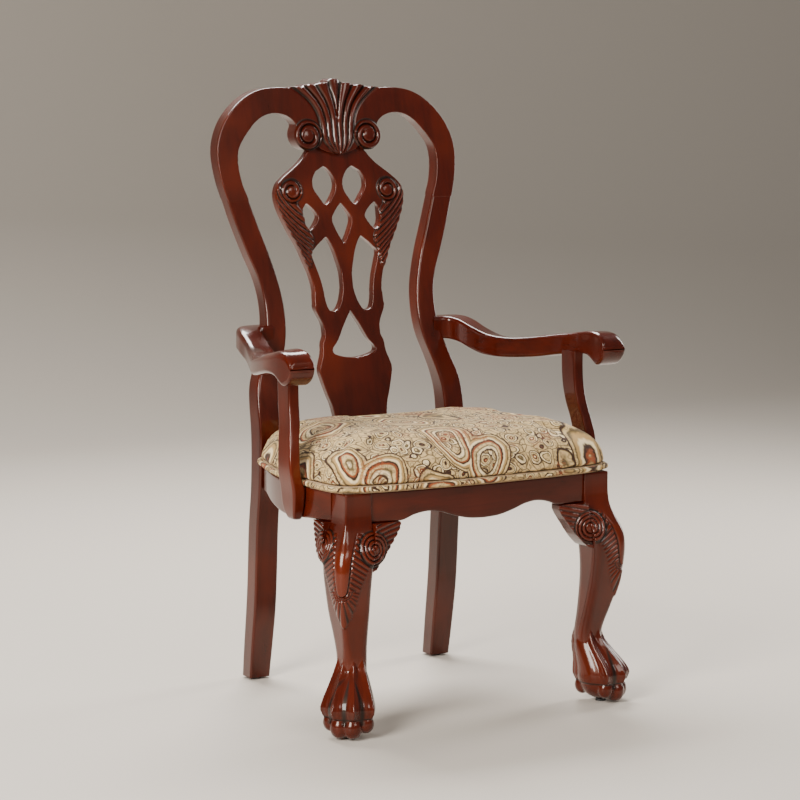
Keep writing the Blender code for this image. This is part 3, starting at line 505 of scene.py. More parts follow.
# %% Outline of the crest
SHELL_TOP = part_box("crest_rail")[1].z
VOLUTE = (0.0625, 0.9965)
VOLUTE_RADIUS = 0.0280
CREST_THICKNESS = 0.031
CREST_FRONT = -0.002
CREST_JOINT = POST_OUTER[-1][1]
TENON = 0.007        # the hoop runs on this far inside the top of each post


def crest_outline():
    outer = smooth_line([
        (0.000, SHELL_TOP), (0.011, 1.0980), (0.022, 1.0920), (0.050, 1.0890), (0.088, 1.0840),
        (0.122, 1.0845), (0.157, 1.0800), (0.187, 1.0670), (0.214, 1.0450), (0.235, 1.0180),
        (0.2485, 0.9850), (0.251, 0.9530), (0.246, 0.9150), (0.238, CREST_JOINT),
    ])
    outer = np.vstack([outer, [(0.2350, CREST_JOINT - TENON)]])
    inner = smooth_line([
        (0.1955, CREST_JOINT), (0.2050, 0.9120), (0.2100, 0.9450), (0.2070, 0.9720),
        (0.1960, 0.9910), (0.1820, 1.0080), (0.1680, 1.0220), (0.1500, 1.0330),
        (0.1280, 1.0375), (0.1070, 1.0340), (0.0930, 1.0260), (0.0850, 1.0160),
    ])
    inner = np.vstack([[(0.1945, CREST_JOINT - TENON)], inner])
    angles = np.radians(np.linspace(32, -135, 40))
    volute = np.array(VOLUTE) + VOLUTE_RADIUS * np.stack([np.cos(angles), np.sin(angles)], axis=1)
    foot = smooth_line([(0.0360, 0.9705), (0.0200, 0.9650), (0.0000, 0.9605)])
    return both_halves(np.vstack([outer, inner, volute, foot]))


print("crest outline:", len(crest_outline()), "points")

# %% Carving of the crest
SHELL_HALF_WIDTH = [
    (0.0030, 0.9590), (0.0120, 0.9650), (0.0200, 0.9720), (0.0290, 0.9830), (0.0335, 0.9960),
    (0.0350, 1.0100), (0.0375, 1.0250), (0.0440, 1.0420), (0.0570, 1.0600), (0.0760, 1.0760),
    (0.0990, 1.0930),
]
RIBS = 3.5           # ribs on each side, the middle one counted as a half
CREST_NET = 0.0012


def scroll_relief(distance, turn, radius, pitch, rise, button=0.40):
    """Height and depth of shade of a scroll: one groove that winds in to a round button."""
    inside = 1.0 - step(radius * 0.92, radius * 1.02, distance)
    winding = (distance - pitch * turn / (2 * math.pi)) / pitch
    off_groove = winding - np.round(winding)
    groove = np.exp(-(off_groove / 0.15)**2)
    beyond_button = step(radius * (button - 0.10), radius * (button - 0.02), distance)
    groove = groove * beyond_button * inside
    rounded = 1.0 - (2.0 * np.abs(off_groove) - 1.0)**2
    dome = rise * (0.80 + 0.20 * rounded * beyond_button)
    top = rise * (1.08 - 0.25 * (distance / (radius * button))**2)
    height = inside * np.where(distance < radius * button, np.maximum(top, 0.7 * rise), dome)
    height -= 0.85 * rise * groove
    rim = np.exp(-((distance - radius * 1.04) / (0.08 * radius))**2)
    return height, np.clip(groove + 0.8 * rim, 0.0, 1.0)


def shell_rib(even, middle):
    """Counts the ribs outwards when the middle one has only a share of its even width."""
    half = 0.5 * middle
    return np.where(even < half, even / middle,
                    0.5 + (even - half) * (RIBS - 0.5) / (RIBS - half))


def crest_relief(x, height):
    """How far the crest's face stands forward, and how deep in shade each point lies."""
    width = read_at(SHELL_HALF_WIDTH, height)
    middle_rib = 0.16 + 0.84 * step(1.010, 1.085, height)
    rib = shell_rib(np.abs(x) / width * RIBS, middle_rib)
    across = 2.0 * (rib - np.round(rib))
    crown = 1.0 - np.clip(across + 0.22, -1.0, 1.22)**2
    in_shell = 1.0 - step(RIBS - 0.08, RIBS + 0.03, rib)
    tall = 0.0036 + 0.0022 * step(0.99, 1.06, height)
    relief = in_shell * (0.0018 + tall * (np.maximum(crown, -0.1) - 0.25))
    shade = in_shell * np.clip(1.0 - crown, 0.0, 1.0)**1.6
    wall = np.exp(-((rib - RIBS) / 0.16)**2)
    shade = np.maximum(shade, 0.85 * wall)
    relief -= 0.0012 * wall
    dx, dz = np.abs(x) - VOLUTE[0], height - VOLUTE[1]
    distance = np.hypot(dx, dz)
    turn = np.mod(np.arctan2(dz, dx) + 2.2, 2 * math.pi)
    scroll, scroll_shade = scroll_relief(distance, turn, VOLUTE_RADIUS, 0.0125, 0.0056, 0.42)
    near = 1.0 - step(VOLUTE_RADIUS * 0.98, VOLUTE_RADIUS * 1.12, distance)
    return relief * (1 - near) + scroll * near, np.maximum(shade * (1 - near), scroll_shade)


def carve_board(mesh, relief):
    """Moves the face of a flat board forward by its relief and stores the shade."""
    points, normals = points_of(mesh), normals_of(mesh)
    height, shade = relief(points[:, 0], points[:, 1])
    facing = step(0.25, 0.80, normals[:, 2])
    points[:, 2] += height * facing
    move_points(mesh, points)
    store(mesh, "hollow", shade * facing)
    rounded = step(0.25, 0.60, normals[:, 2]) * (1.0 - step(0.80, 0.97, normals[:, 2]))
    store(mesh, "worn", 0.5 * rounded * (1.0 - shade))
    return points


def crest_rail():
    mesh = even_net(sawn_board("crest", [crest_outline()], CREST_THICKNESS), CREST_NET, 6)
    points = points_of(mesh)
    rib = np.abs(points[:, 0]) / SHELL_HALF_WIDTH[-1][0] * RIBS
    lobe = 2.0 * (rib - np.round(rib))
    in_shell = (rib < RIBS - 0.02) * step(1.070, 1.082, points[:, 1])
    facing_up = step(0.1, 0.7, normals_of(mesh)[:, 1])
    points[:, 1] += in_shell * facing_up * (0.0016 - 0.0048 * np.abs(lobe)**3)
    points[:, 1] = np.minimum(points[:, 1], SHELL_TOP)
    move_points(mesh, points)
    points = carve_board(mesh, crest_relief)
    move_points(mesh, lean_back(points, CREST_FRONT))
    return finished(new_piece("crest_hoop", mesh, WOOD["Z"], CARVED_ANGLE), "carved_wood", "crest_rail")


crest_rail()

# %% [markdown]
# ## The splat
#
# The splat is pierced by eight openings and carries a scroll on each shoulder, with a leaf that
# runs down the outer edge from it. The leaf is a row of flutes that slant towards the edge, cut
# deep where it leaves the scroll and fading to a point.

# %% Outline of the splat
SPLAT_EDGE = [
    (0.060, 0.9680), (0.077, 0.9490), (0.095, 0.9350), (0.113, 0.9220), (0.128, 0.9080),
    (0.1345, 0.8900), (0.133, 0.8720), (0.126, 0.8500), (0.112, 0.8200), (0.096, 0.7900),
    (0.086, 0.7650), (0.077, 0.7420), (0.0715, 0.7160), (0.0725, 0.6930), (0.0725, 0.6790),
    (0.067, 0.6660), (0.060, 0.6500), (0.059, 0.6310), (0.0645, 0.6170), (0.067, 0.5980),
    (0.073, 0.5810), (0.0765, 0.5670), (0.073, 0.5500), (0.065, 0.5230), (0.058, 0.5020),
    (0.053, 0.4700),
]
TOP_TEARDROP = [
    (0.0315, 0.9390), (0.0200, 0.9330), (0.0100, 0.9180), (0.0080, 0.9020), (0.0150, 0.8860),
    (0.0305, 0.8690), (0.0450, 0.8850), (0.0545, 0.9000), (0.0545, 0.9160), (0.0450, 0.9320),
]
SIDE_TEARDROP = [
    (0.0730, 0.8720), (0.0620, 0.8650), (0.0520, 0.8530), (0.0510, 0.8430), (0.0675, 0.8230),
    (0.0780, 0.8330), (0.0800, 0.8500), (0.0790, 0.8650),
]
LONG_HOLE = [
    (0.0375, 0.8105), (0.0250, 0.7915), (0.0165, 0.7655), (0.0110, 0.7400), (0.0115, 0.7140),
    (0.0190, 0.6890), (0.0285, 0.6760), (0.0375, 0.6745), (0.0450, 0.6790), (0.0500, 0.6950),
    (0.0520, 0.7120), (0.0570, 0.7370), (0.0645, 0.7600), (0.0700, 0.7800), (0.0620, 0.7900),
    (0.0500, 0.8010),
]
CENTRE_LENS = [
    (0.0000, 0.8720), (0.0130, 0.8570), (0.0205, 0.8410), (0.0120, 0.8180), (0.0000, 0.7970),
]
VASE_HOLE = [
    (0.0000, 0.6745), (0.0165, 0.6490), (0.0315, 0.6220), (0.0440, 0.6070), (0.0420, 0.5975),
    (0.0210, 0.5905), (0.0000, 0.5880),
]
SPLAT_THICKNESS = 0.016
SPLAT_FRONT = 0.008
SHOE_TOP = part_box("splat_shoe")[1].z


def splat_loops():
    edge = np.vstack([[(0.048, 0.986)], smooth_line(SPLAT_EDGE, 8), [(0.050, SHOE_TOP)]])
    loops = [both_halves(edge)]
    for hole in (TOP_TEARDROP, SIDE_TEARDROP, LONG_HOLE):
        ring = closed_ring(hole)
        loops += [ring, ring * (-1.0, 1.0)]
    loops += [both_halves(smooth_line(half, 8)) for half in (CENTRE_LENS, VASE_HOLE)]
    return loops


print("splat: one outline and", len(splat_loops()) - 1, "openings")

# %% Carving of the splat
SHOULDER_SCROLL = (0.1010, 0.8960)
SCROLL_RADIUS = 0.0215
LEAF_TIP = 0.754
LEAF_WIDTH = [
    (0.0040, 0.7520), (0.0130, 0.7650), (0.0240, 0.7850), (0.0390, 0.8050), (0.0450, 0.8300),
    (0.0450, 0.8550), (0.0400, 0.8800), (0.0330, 0.9000), (0.0300, 0.9300),
]
FLUTE_PITCH = 0.0165
SPLAT_NET = 0.0013


def splat_relief(x, height):
    edge = read_at(SPLAT_EDGE[1:12], np.clip(height, 0.75, 0.94))
    inward = edge - np.abs(x)
    slant = (height + 2.20 * inward - 17.0 * inward**2) / FLUTE_PITCH
    across = 2.0 * (slant - np.round(slant))
    crown = 1.0 - np.clip(across + 0.25, -1.0, 1.25)**2
    width = read_at(LEAF_WIDTH, height) + 0.0022 * (crown - 0.5)
    ends = step(LEAF_TIP - 0.004, LEAF_TIP + 0.006, height)
    ends = ends * (1 - step(0.898, 0.912, height))
    on_leaf = ends * (1.0 - step(width - 0.0016, width, inward))
    rim = np.exp(-((inward - width + 0.0035) / 0.0028)**2)
    relief = on_leaf * (0.0028 + 0.0030 * (np.maximum(crown, -0.1) - 0.35) * (1 - 0.5 * rim)
                        + 0.0010 * rim)
    shade = on_leaf * np.clip(1.0 - crown, 0.0, 1.0)**1.3
    wall = np.exp(-((inward - width - 0.0008) / 0.0015)**2) * ends
    shade = np.maximum(shade, 0.8 * wall)
    dx, dz = np.abs(x) - SHOULDER_SCROLL[0], height - SHOULDER_SCROLL[1]
    distance = np.hypot(dx, dz)
    turn = np.mod(-np.arctan2(dz, dx) + 1.0, 2 * math.pi)
    scroll, scroll_shade = scroll_relief(distance, turn, SCROLL_RADIUS, 0.0105, 0.0046, 0.44)
    near = 1.0 - step(SCROLL_RADIUS * 0.98, SCROLL_RADIUS * 1.14, distance)
    return relief * (1 - near) + scroll * near, np.maximum(shade * (1 - near), scroll_shade)


def back_splat():
    mesh = even_net(sawn_board("splat", splat_loops(), SPLAT_THICKNESS), SPLAT_NET, 5)
    points = carve_board(mesh, splat_relief)
    move_points(mesh, lean_back(points, SPLAT_FRONT))
    return finished(new_piece("pierced_splat", mesh, WOOD["Z"], CARVED_ANGLE), "carved_wood", "back_splat")


back_splat()

# %% [markdown]
# ## The seat frame
#
# Four rails tie the legs together. The front rail is bowed and its lower edge waves, the side
# rails bow outwards to follow the cushion. Each is a loft again, this time along its length.

# %% Rails and shoe
RAIL_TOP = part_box("front_seat_rail")[1].z
RAIL_THICKNESS = 0.022
RAIL_EDGES = (0.0020, 0.0020, 0.0030, 0.0030)
LEG_INNER_FACE = 0.2155
LEG_REAR_FACE = 0.0550
FRONT_RAIL_BOW = 0.016
POST_FRONT_FACE = 0.4080
REAR_RAIL_THICKNESS = 0.029
REAR_RAIL_MIDDLE = 0.4255
REAR_RAIL_END = 0.171
FRONT_RAIL_BOTTOM = [
    (0.3540, 0.000), (0.3560, 0.030), (0.3630, 0.060), (0.3710, 0.085), (0.3740, 0.110),
    (0.3700, 0.135), (0.3625, 0.155), (0.3610, 0.175), (0.3610, 0.2160),
]
SIDE_RAIL_BOTTOM = [
    (0.3610, 0.0540), (0.3610, 0.100), (0.3590, 0.130), (0.3560, 0.200), (0.3620, 0.270),
    (0.3690, 0.330), (0.3660, 0.380), (0.3630, 0.4080),
]
SIDE_RAIL_OUTER = [
    (0.2660, 0.0543), (0.2785, 0.0900), (0.2850, 0.1350), (0.2820, 0.1900), (0.2650, 0.2700),
    (0.2370, 0.3500), (0.2090, 0.4100),
]


def rail_section(middle, bottom):
    ring = rounded_section(RAIL_THICKNESS, RAIL_TOP - bottom, RAIL_EDGES)
    return ring + (middle, (RAIL_TOP + bottom) / 2)


def front_rail():
    rings = []
    for x in np.linspace(-LEG_INNER_FACE, LEG_INNER_FACE, 90):
        face = -0.008 + FRONT_RAIL_BOW * (x / LEG_INNER_FACE)**2
        section = rail_section(face + RAIL_THICKNESS / 2, read_at(FRONT_RAIL_BOTTOM, abs(x)))
        rings.append([(x, y, z) for y, z in section])
    return finished(loft("front_rail", rings, WOOD["X"]), "carved_wood", "front_seat_rail")


def side_rail(side_name):
    rings = []
    for y in np.linspace(LEG_REAR_FACE, POST_FRONT_FACE, 70):
        middle = read_at(SIDE_RAIL_OUTER, y) - RAIL_THICKNESS / 2
        section = rail_section(middle, read_at(SIDE_RAIL_BOTTOM, y))
        rings.append([(SIDES[side_name] * x, y, z) for x, z in section])
    rail = loft(f"side_rail_{side_name}", rings, WOOD["Y"])
    return finished(rail, "carved_wood", f"side_seat_rail_{side_name}")


def rear_rail():
    low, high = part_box("rear_seat_rail")
    ring = rounded_section(REAR_RAIL_THICKNESS, high.z - low.z, (RAIL_EDGES[0],) * 4)
    ring += (REAR_RAIL_MIDDLE, (low.z + high.z) / 2)
    rings = [[(x, y, z) for y, z in ring] for x in np.linspace(-REAR_RAIL_END, REAR_RAIL_END, 8)]
    return finished(loft("rear_rail", rings, WOOD["X"]), "carved_wood", "rear_seat_rail")


def splat_shoe():
    """A moulding with a cove down its back to an upright foot, and a bevelled front edge."""
    low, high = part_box("splat_shoe")
    rear = smooth_line([(0.4450, low.z), (0.4450, 0.4250), (0.4415, 0.4330), (0.4388, 0.4430),
                        (0.4370, high.z)], 4)
    front = [(0.4110, high.z), (0.4085, 0.4450), (0.4085, low.z)]
    profile = np.vstack([rear, front])
    rings = [[(x, y, z) for y, z in profile] for x in np.linspace(low.x, high.x, 8)]
    return finished(loft("shoe_moulding", rings, WOOD["X"]), "carved_wood", "splat_shoe")


front_rail()
rear_rail()
splat_shoe()
for side_name in SIDES:
    side_rail(side_name)

# %% [markdown]
# ## The arms
#
# An arm leaves the post sideways, sinks, rises again and ends in a nose that turns down. Seen
# from above, an outer and an inner line bound it; seen from the side, a top and a bottom line.
# The section is taken across the two plan lines. Its outer top corner is rounded the most,
# where a hand rests, and the top tips outwards a little.

# %% Arms
ARM_OUTER = [
    (0.1850, 0.4780), (0.2150, 0.4740), (0.2380, 0.4580), (0.2490, 0.4270), (0.2570, 0.3850),
    (0.2720, 0.3420), (0.2900, 0.3000), (0.3080, 0.2550), (0.3240, 0.2050), (0.3360, 0.1550),
    (0.3405, 0.1100), (0.3395, 0.0620),
]
ARM_INNER = [
    (0.1700, 0.4420), (0.1950, 0.4380), (0.2070, 0.4180), (0.2150, 0.3800), (0.2290, 0.3300),
    (0.2480, 0.2850), (0.2660, 0.2400), (0.2800, 0.1950), (0.2900, 0.1500), (0.2935, 0.1100),
    (0.2925, 0.0620),
]
ARM_TOP = [
    (0.6240, 0.0615), (0.6330, 0.0640), (0.6405, 0.0700), (0.6465, 0.0790), (0.6500, 0.0920),
    (0.6510, 0.1150), (0.6460, 0.1500), (0.6390, 0.2000), (0.6310, 0.2500), (0.6260, 0.3000),
    (0.6290, 0.3450), (0.6400, 0.3850), (0.6510, 0.4200), (0.6560, 0.4500), (0.6560, 0.4850),
]
ARM_BOTTOM = [
    (0.6170, 0.0615), (0.6080, 0.0640), (0.6000, 0.0700), (0.5940, 0.0790), (0.5915, 0.0890),
    (0.5965, 0.1000), (0.6060, 0.1200), (0.6070, 0.1500), (0.6000, 0.2000), (0.5920, 0.2500),
    (0.5880, 0.3000), (0.5900, 0.3450), (0.5980, 0.3850), (0.6090, 0.4200), (0.6140, 0.4500),
    (0.6140, 0.4850),
]
ARM_TILT = [(0.0000, 0.060), (0.0020, 0.100), (0.0055, 0.150), (0.0065, 0.250), (0.0060, 0.330),
            (0.0035, 0.390), (0.0000, 0.440), (0.0000, 0.480)]
ARM_EDGES = (0.0115, 0.0060, 0.0050, 0.0060)
WIDEST_ROUND = 0.46     # the largest radius, as a share of the section
NOSE_START = 0.9        # the nose takes the rest of the arm's length, in ever closer sections


def shrunk(ring, share, shift):
    """A ring drawn in towards its middle and moved, to round off the end of a loft."""
    ring = np.array(ring)
    middle = ring.mean(axis=0)
    return middle + (ring - middle) * share + np.array(shift)


def arm(side_name):
    side = SIDES[side_name]
    closing = NOSE_START + (1.0 - NOSE_START) * np.sin(np.linspace(0.0, math.pi / 2, 48))
    shares = np.concatenate([np.linspace(0.0, NOSE_START, 90), closing[1:]])
    outer, inner = along_line(ARM_OUTER, shares), along_line(ARM_INNER, shares)
    rings = []
    for far, near, share in zip(outer, inner, shares):
        y = (far[1] + near[1]) / 2
        top, bottom = read_at(ARM_TOP, y), read_at(ARM_BOTTOM, y)
        width, height = float(np.linalg.norm(far - near)), float(top - bottom)
        radii = [min(radius, WIDEST_ROUND * height, WIDEST_ROUND * width) for radius in ARM_EDGES]
        ring = []
        for u, v in rounded_section(width, height, radii):
            across = u / width + 0.5
            x_here = near[0] + (far[0] - near[0]) * across
            y_here = near[1] + (far[1] - near[1]) * across
            lift = read_at(ARM_TOP, y_here) - top if share < NOSE_START else 0.0
            tilt = read_at(ARM_TILT, y_here) * across * step(-0.5, 0.5, v / height)
            ring.append((side * x_here, y_here, (top + bottom) / 2 + v + lift - tilt))
        rings.append(ring)
    rings.append(shrunk(rings[-1], 0.985, (0.0, -0.0006, 0.0)))
    rings.append(shrunk(rings[-1], 0.955, (0.0, -0.0003, 0.0)))
    rest = loft(f"arm_rest_{side_name}", rings, WOOD["Y"])
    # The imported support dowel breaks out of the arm's inner face. Standing for it hides that.
    return finished(rest, "carved_wood", f"arm_{side_name}", f"support_dowel_{side_name}")


for side_name in SIDES:
    arm(side_name)

# %% Arm supports
SUPPORT_OUTER = [
    (0.3010, 0.3550), (0.3060, 0.3750), (0.3090, 0.4050), (0.3130, 0.4350), (0.3130, 0.4600),
    (0.3090, 0.4920), (0.3045, 0.5200), (0.3020, 0.5600), (0.3015, 0.6150),
]
SUPPORT_INNER = [
    (0.2854, 0.3550), (0.2854, 0.3900), (0.2858, 0.4100), (0.2905, 0.4220), (0.2930, 0.4400),
    (0.2930, 0.4600), (0.2895, 0.4920), (0.2840, 0.5200), (0.2820, 0.5600), (0.2815, 0.6150),
]
SUPPORT_FRONT = [
    (0.1220, 0.3560), (0.1120, 0.3800), (0.1080, 0.4200), (0.1130, 0.4650), (0.1250, 0.5100),
    (0.1340, 0.5500), (0.1365, 0.5850), (0.1360, 0.6150),
]
SUPPORT_REAR = [
    (0.1440, 0.3560), (0.1540, 0.3800), (0.1560, 0.4200), (0.1590, 0.4650), (0.1680, 0.5100),
    (0.1770, 0.5500), (0.1800, 0.5850), (0.1800, 0.6150),
]


SUPPORT_LINES = (SUPPORT_OUTER, SUPPORT_INNER, SUPPORT_FRONT, SUPPORT_REAR)
SUPPORT_EDGES = (0.0036,) * 4
SUPPORT_FOOT = 0.3560
FOOT_ROUND = 0.0040     # the foot of a support is rounded over this height


def arm_support(side_name):
    """An upright drawn in at its foot, but not on its inner side. Its top ends inside the arm."""
    rings = []
    for height in np.concatenate([[0.3562, 0.3568, 0.3580], np.linspace(0.360, 0.612, 70)]):
        blunt = 1.0 - 0.30 * (1.0 - min(1.0, (height - SUPPORT_FOOT) / FOOT_ROUND))**2
        rings.append(upright_ring(SUPPORT_LINES, height, SUPPORT_EDGES, SIDES[side_name], blunt))
    post = loft(f"arm_post_{side_name}", rings, WOOD["Z"])
    return finished(post, "carved_wood", f"arm_support_{side_name}")


for side_name in SIDES:
    arm_support(side_name)

# %% [markdown]
# ## The cabriole legs
#
# The leg is square at the rail, swells into a knee, thins to an ankle and spreads into a foot
# whose five toes clutch a ball. Its corners are nearly sharp at the rail and open into wide
# rounds below it, each by its own table. Leg, ball and toes are made apart, then one voxel net
# is drawn over all of them, which melts the joins like the carver's gouge does. The knee is
# carved last.

# %% Shape of a leg
LEG_OUTER = [
    (0.2660, 0.413), (0.2660, 0.385), (0.2680, 0.360), (0.2760, 0.336), (0.2860, 0.312),
    (0.2905, 0.288), (0.2895, 0.258), (0.2830, 0.215), (0.2720, 0.170), (0.2640, 0.132),
    (0.2650, 0.105), (0.2760, 0.080), (0.2880, 0.060), (0.2900, 0.036),
]
LEG_INNER = [
    (0.2155, 0.413), (0.2155, 0.360), (0.2175, 0.330), (0.2220, 0.300), (0.2245, 0.270),
    (0.2245, 0.220), (0.2215, 0.165), (0.2185, 0.130), (0.2185, 0.105), (0.2190, 0.080),
    (0.2200, 0.060), (0.2220, 0.036),
]
LEG_RIDGE = [(0.0015, 0.413), (0.0015, 0.372), (0.0060, 0.345), (0.0120, 0.310), (0.0130, 0.265),
             (0.0075, 0.215), (0.0080, 0.165), (0.0150, 0.120), (0.0200, 0.080), (0.0220, 0.036)]
LEG_SIDES = [(0.0015, 0.413), (0.0015, 0.362), (0.0060, 0.330), (0.0100, 0.290), (0.0130, 0.250),
             (0.0130, 0.200), (0.0140, 0.150), (0.0150, 0.110), (0.0180, 0.080), (0.0230, 0.036)]
LEG_BACK = [(0.0015, 0.413), (0.0015, 0.362), (0.0060, 0.330), (0.0140, 0.290), (0.0190, 0.250),
            (0.0200, 0.200), (0.0200, 0.150), (0.0200, 0.110), (0.0230, 0.080), (0.0260, 0.036)]
LEG_DIAGONAL = 0.270     # x plus y all along the line that the leg is symmetric about
FOOT = (0.256, FOOT_BEHIND_LINE, 0.038)
BALL_RADIUS = 0.0385
BALL_HALF_HEIGHT = 0.0335
ANKLE = (0.2412, 0.0288)
FOOT_TO_ANKLE = (0.050, 0.120)     # the foot leans back to the ankle between these heights
WOOD_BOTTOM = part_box("front_leg_right")[0].z


def leg_rings(side):
    rings = []
    for height in np.linspace(0.048, RAIL_TOP, 120):
        outer, inner = read_at(LEG_OUTER, height), read_at(LEG_INNER, height)
        middle, width = (outer + inner) / 2, outer - inner
        ridge, beside, back = [min(float(read_at(table, height)), 0.49 * width)
                               for table in (LEG_RIDGE, LEG_SIDES, LEG_BACK)]
        ring = rounded_section(width, width, (ridge, beside, back, beside))
        rings.append([(side * (middle + u), LEG_DIAGONAL - middle - v, height) for u, v in ring])
    return rings


def level_circle(x, y, height, radius, count):
    turns = np.linspace(0.0, 2 * math.pi, count, endpoint=False)
    return [(x + radius * math.cos(t), y + radius * math.sin(t), height) for t in turns]


def egg_rings(centre, radius, half_height, angles, count):
    """Level rings of an upright egg, cut off at the bottom of the wood."""
    x, y, middle = centre
    rings = []
    for angle in angles:
        level = max(WOOD_BOTTOM, middle + half_height * math.sin(angle))
        rings.append(level_circle(x, y, level, radius * math.cos(angle), count))
    return rings


def ball_rings(side):
    angles = np.linspace(-math.pi / 2 + 0.30, math.pi / 2 - 0.02, 30)
    return egg_rings((side * FOOT[0], FOOT[1], FOOT[2]), BALL_RADIUS, BALL_HALF_HEIGHT, angles, 40)


print("the wood of a front leg starts", round(WOOD_BOTTOM * 1000, 1), "mm above the floor")


# %% Toes
TOE_ANGLES = (-66.0, -22.0, 22.0, 66.0, 180.0)
TOE_REACH = [(0.0160, 0.150), (0.0182, 0.130), (0.0215, 0.112), (0.0275, 0.088), (0.0335, 0.066),
             (0.0362, 0.050), (0.0335, 0.037)]
TOE_THICKNESS = [(0.0036, 0.150), (0.0050, 0.130), (0.0066, 0.112), (0.0090, 0.088),
                 (0.0112, 0.066), (0.0122, 0.050), (0.0105, 0.037)]
FRONT_CLAW = (0.0295, 0.0215, 0.0170, 0.0192)    # reach, height, half width, half height
SIDE_CLAW = (0.0330, 0.0270, 0.0142, 0.0165)
WEB = [(0.0200, 0.120), (0.0275, 0.102), (0.0325, 0.088), (0.0392, 0.066), (0.0420, 0.050),
       (0.0400, 0.036)]


def foot_middle(side, height):
    """The middle of the foot, which leans back to the ankle as it rises."""
    share = step(*FOOT_TO_ANKLE, height)
    return (side * (FOOT[0] + (ANKLE[0] - FOOT[0]) * share),
            FOOT[1] + (ANKLE[1] - FOOT[1]) * share)


def web_rings(side):
    """The skin that the toes stand out from, a cone that leans from the ankle to the foot."""
    return [level_circle(*foot_middle(side, height), height, read_at(WEB, height), 36)
            for height in np.linspace(WEB[0][1], WEB[-1][1], 24)]


def diagonal_way(side, angle):
    outwards = math.radians(-45.0 if side > 0 else -135.0) + math.radians(angle)
    return np.array([math.cos(outwards), math.sin(outwards), 0.0])


def toe_rings(side, angle):
    """A toe as a tube that is keeled on top: down the ankle and over the knuckle."""
    way = diagonal_way(side, angle)
    across = np.array([-way[1], way[0], 0.0])
    rings = []
    for height in np.linspace(TOE_REACH[0][1], TOE_REACH[-1][1], 40):
        centre = np.array([*foot_middle(side, height), height])
        centre += way * read_at(TOE_REACH, height)
        thick = read_at(TOE_THICKNESS, height)
        turns = np.linspace(0.0, 2 * math.pi, 16, endpoint=False)
        rings.append([centre + thick * (math.cos(t) * (1 + 0.35 * (t == 0.0)) * way
                                        + math.sin(t) * across) for t in turns])
    return rings


def claw_rings(side, angle, shape):
    """The last joint of a toe, an egg that rests against the ball."""
    reach, height, half_width, half_height = shape
    centre = np.array([side * FOOT[0], FOOT[1], height]) + diagonal_way(side, angle) * reach
    return egg_rings(centre, half_width, half_height, np.linspace(-1.45, 1.45, 18), 20)


def joined(name, bodies):
    """One mesh from several closed skins."""
    points, faces = [], []
    for rings in bodies:
        body_points, body_faces = skin(rings)
        faces += [tuple(i + len(points) for i in face) for face in body_faces]
        points += list(body_points)
    return mesh_from(name, points, faces)


print("each foot has", len(TOE_ANGLES), "toes")

# %% [markdown]
# ### Carving the knee
#
# The knee has a plain tongue down its ridge, a slanted row of gadroons on each side of it, and
# a fan under its tip. A scroll turns on each face beside the rail, half on the leg and half on
# the ear. The distance from the ridge is all that the carving needs to know, so both faces of
# a leg share one function, and so do the ears.

# %% Carving of the knee
EAR_SCROLL = (0.2195, 0.3190)
EAR_SCROLL_RADIUS = 0.0285
TONGUE = [(0.0100, 0.2460), (0.0125, 0.2520), (0.0165, 0.2700), (0.0195, 0.2950),
          (0.0215, 0.3200), (0.0240, 0.3500)]
SHIELD = [(0.0020, 0.1870), (0.0150, 0.2020), (0.0260, 0.2200), (0.0350, 0.2400),
          (0.0440, 0.2620), (0.0560, 0.2860), (0.0640, 0.3100), (0.0660, 0.3500)]
TONGUE_TIP = 0.2540
TIP_RADIUS = 0.0090
FLATTENED = 0.72     # the knee is seen along its diagonal, so lengths across a face look shorter
FLUTES = 5.5         # in a quarter turn of the fan
FEATHER_PITCH = 0.0088
SHIELD_FOOT = (0.186, 0.192)     # the fan fades in over these heights
SHIELD_HEAD = (0.338, 0.350)     # and the gadroons fade out over these
UNDER_RAIL = (0.352, 0.360)      # nothing is carved above them
LEG_NET = 0.0013
EAR_NET = 0.0013
EAR_OVERLAP = 0.0030


def knee_relief(from_ridge, height):
    """Relief near the ridge, for a distance from it along either face."""
    reach = np.abs(from_ridge)
    across = reach * FLATTENED
    below = TONGUE_TIP - height
    radius = np.hypot(across, below)
    turn = np.arctan2(across, np.maximum(below, 1e-6))
    tongue = read_at(TONGUE, height) * FLATTENED
    under = below > 0
    out = np.where(under, radius - TIP_RADIUS, across - tongue)
    fan = FLUTES * turn / (math.pi / 2) + 0.35 * np.sin(turn)**2 * out / FEATHER_PITCH
    feather = FLUTES + (0.80 * out - below) / FEATHER_PITCH
    phase = np.where(under, fan, feather)
    wave = 2.0 * (phase - np.round(phase))
    crown = 1.0 - wave**2
    edge = read_at(SHIELD, height) * FLATTENED
    top = 1.0 - step(*SHIELD_HEAD, height)
    start = np.where(under, 0.0080, 0.0012)
    on_shield = step(start, start + 0.0012, out) * (1.0 - step(edge - 0.0025, edge, across))
    on_shield *= step(*SHIELD_FOOT, height) * top
    fading = 1.0 - 0.5 * step(0.35, 1.0, across / edge)
    relief = on_shield * fading * (0.0026 * crown - 0.0004)
    shade = on_shield * (1.0 - crown)**1.6
    easy = 1.0 - step(0.305, 0.352, height)
    on_tongue = (1.0 - step(-0.0016, 0.0, out)) * easy
    relief += 0.0016 * on_tongue
    ripple = np.cos((out - 0.0018) * 2 * math.pi / 0.0034)
    rings = under * step(0.0, 0.0006, out) * (1.0 - step(0.0074, 0.0082, out))
    relief += rings * (0.0006 + 0.0009 * ripple)
    shade = np.maximum(shade, rings * step(0.1, 1.0, -ripple))
    wall = np.exp(-((out - 0.0004) / 0.0009)**2) * easy * (height > 0.24)
    shade = np.maximum(shade, 0.9 * wall)
    return relief - 0.0012 * wall, shade


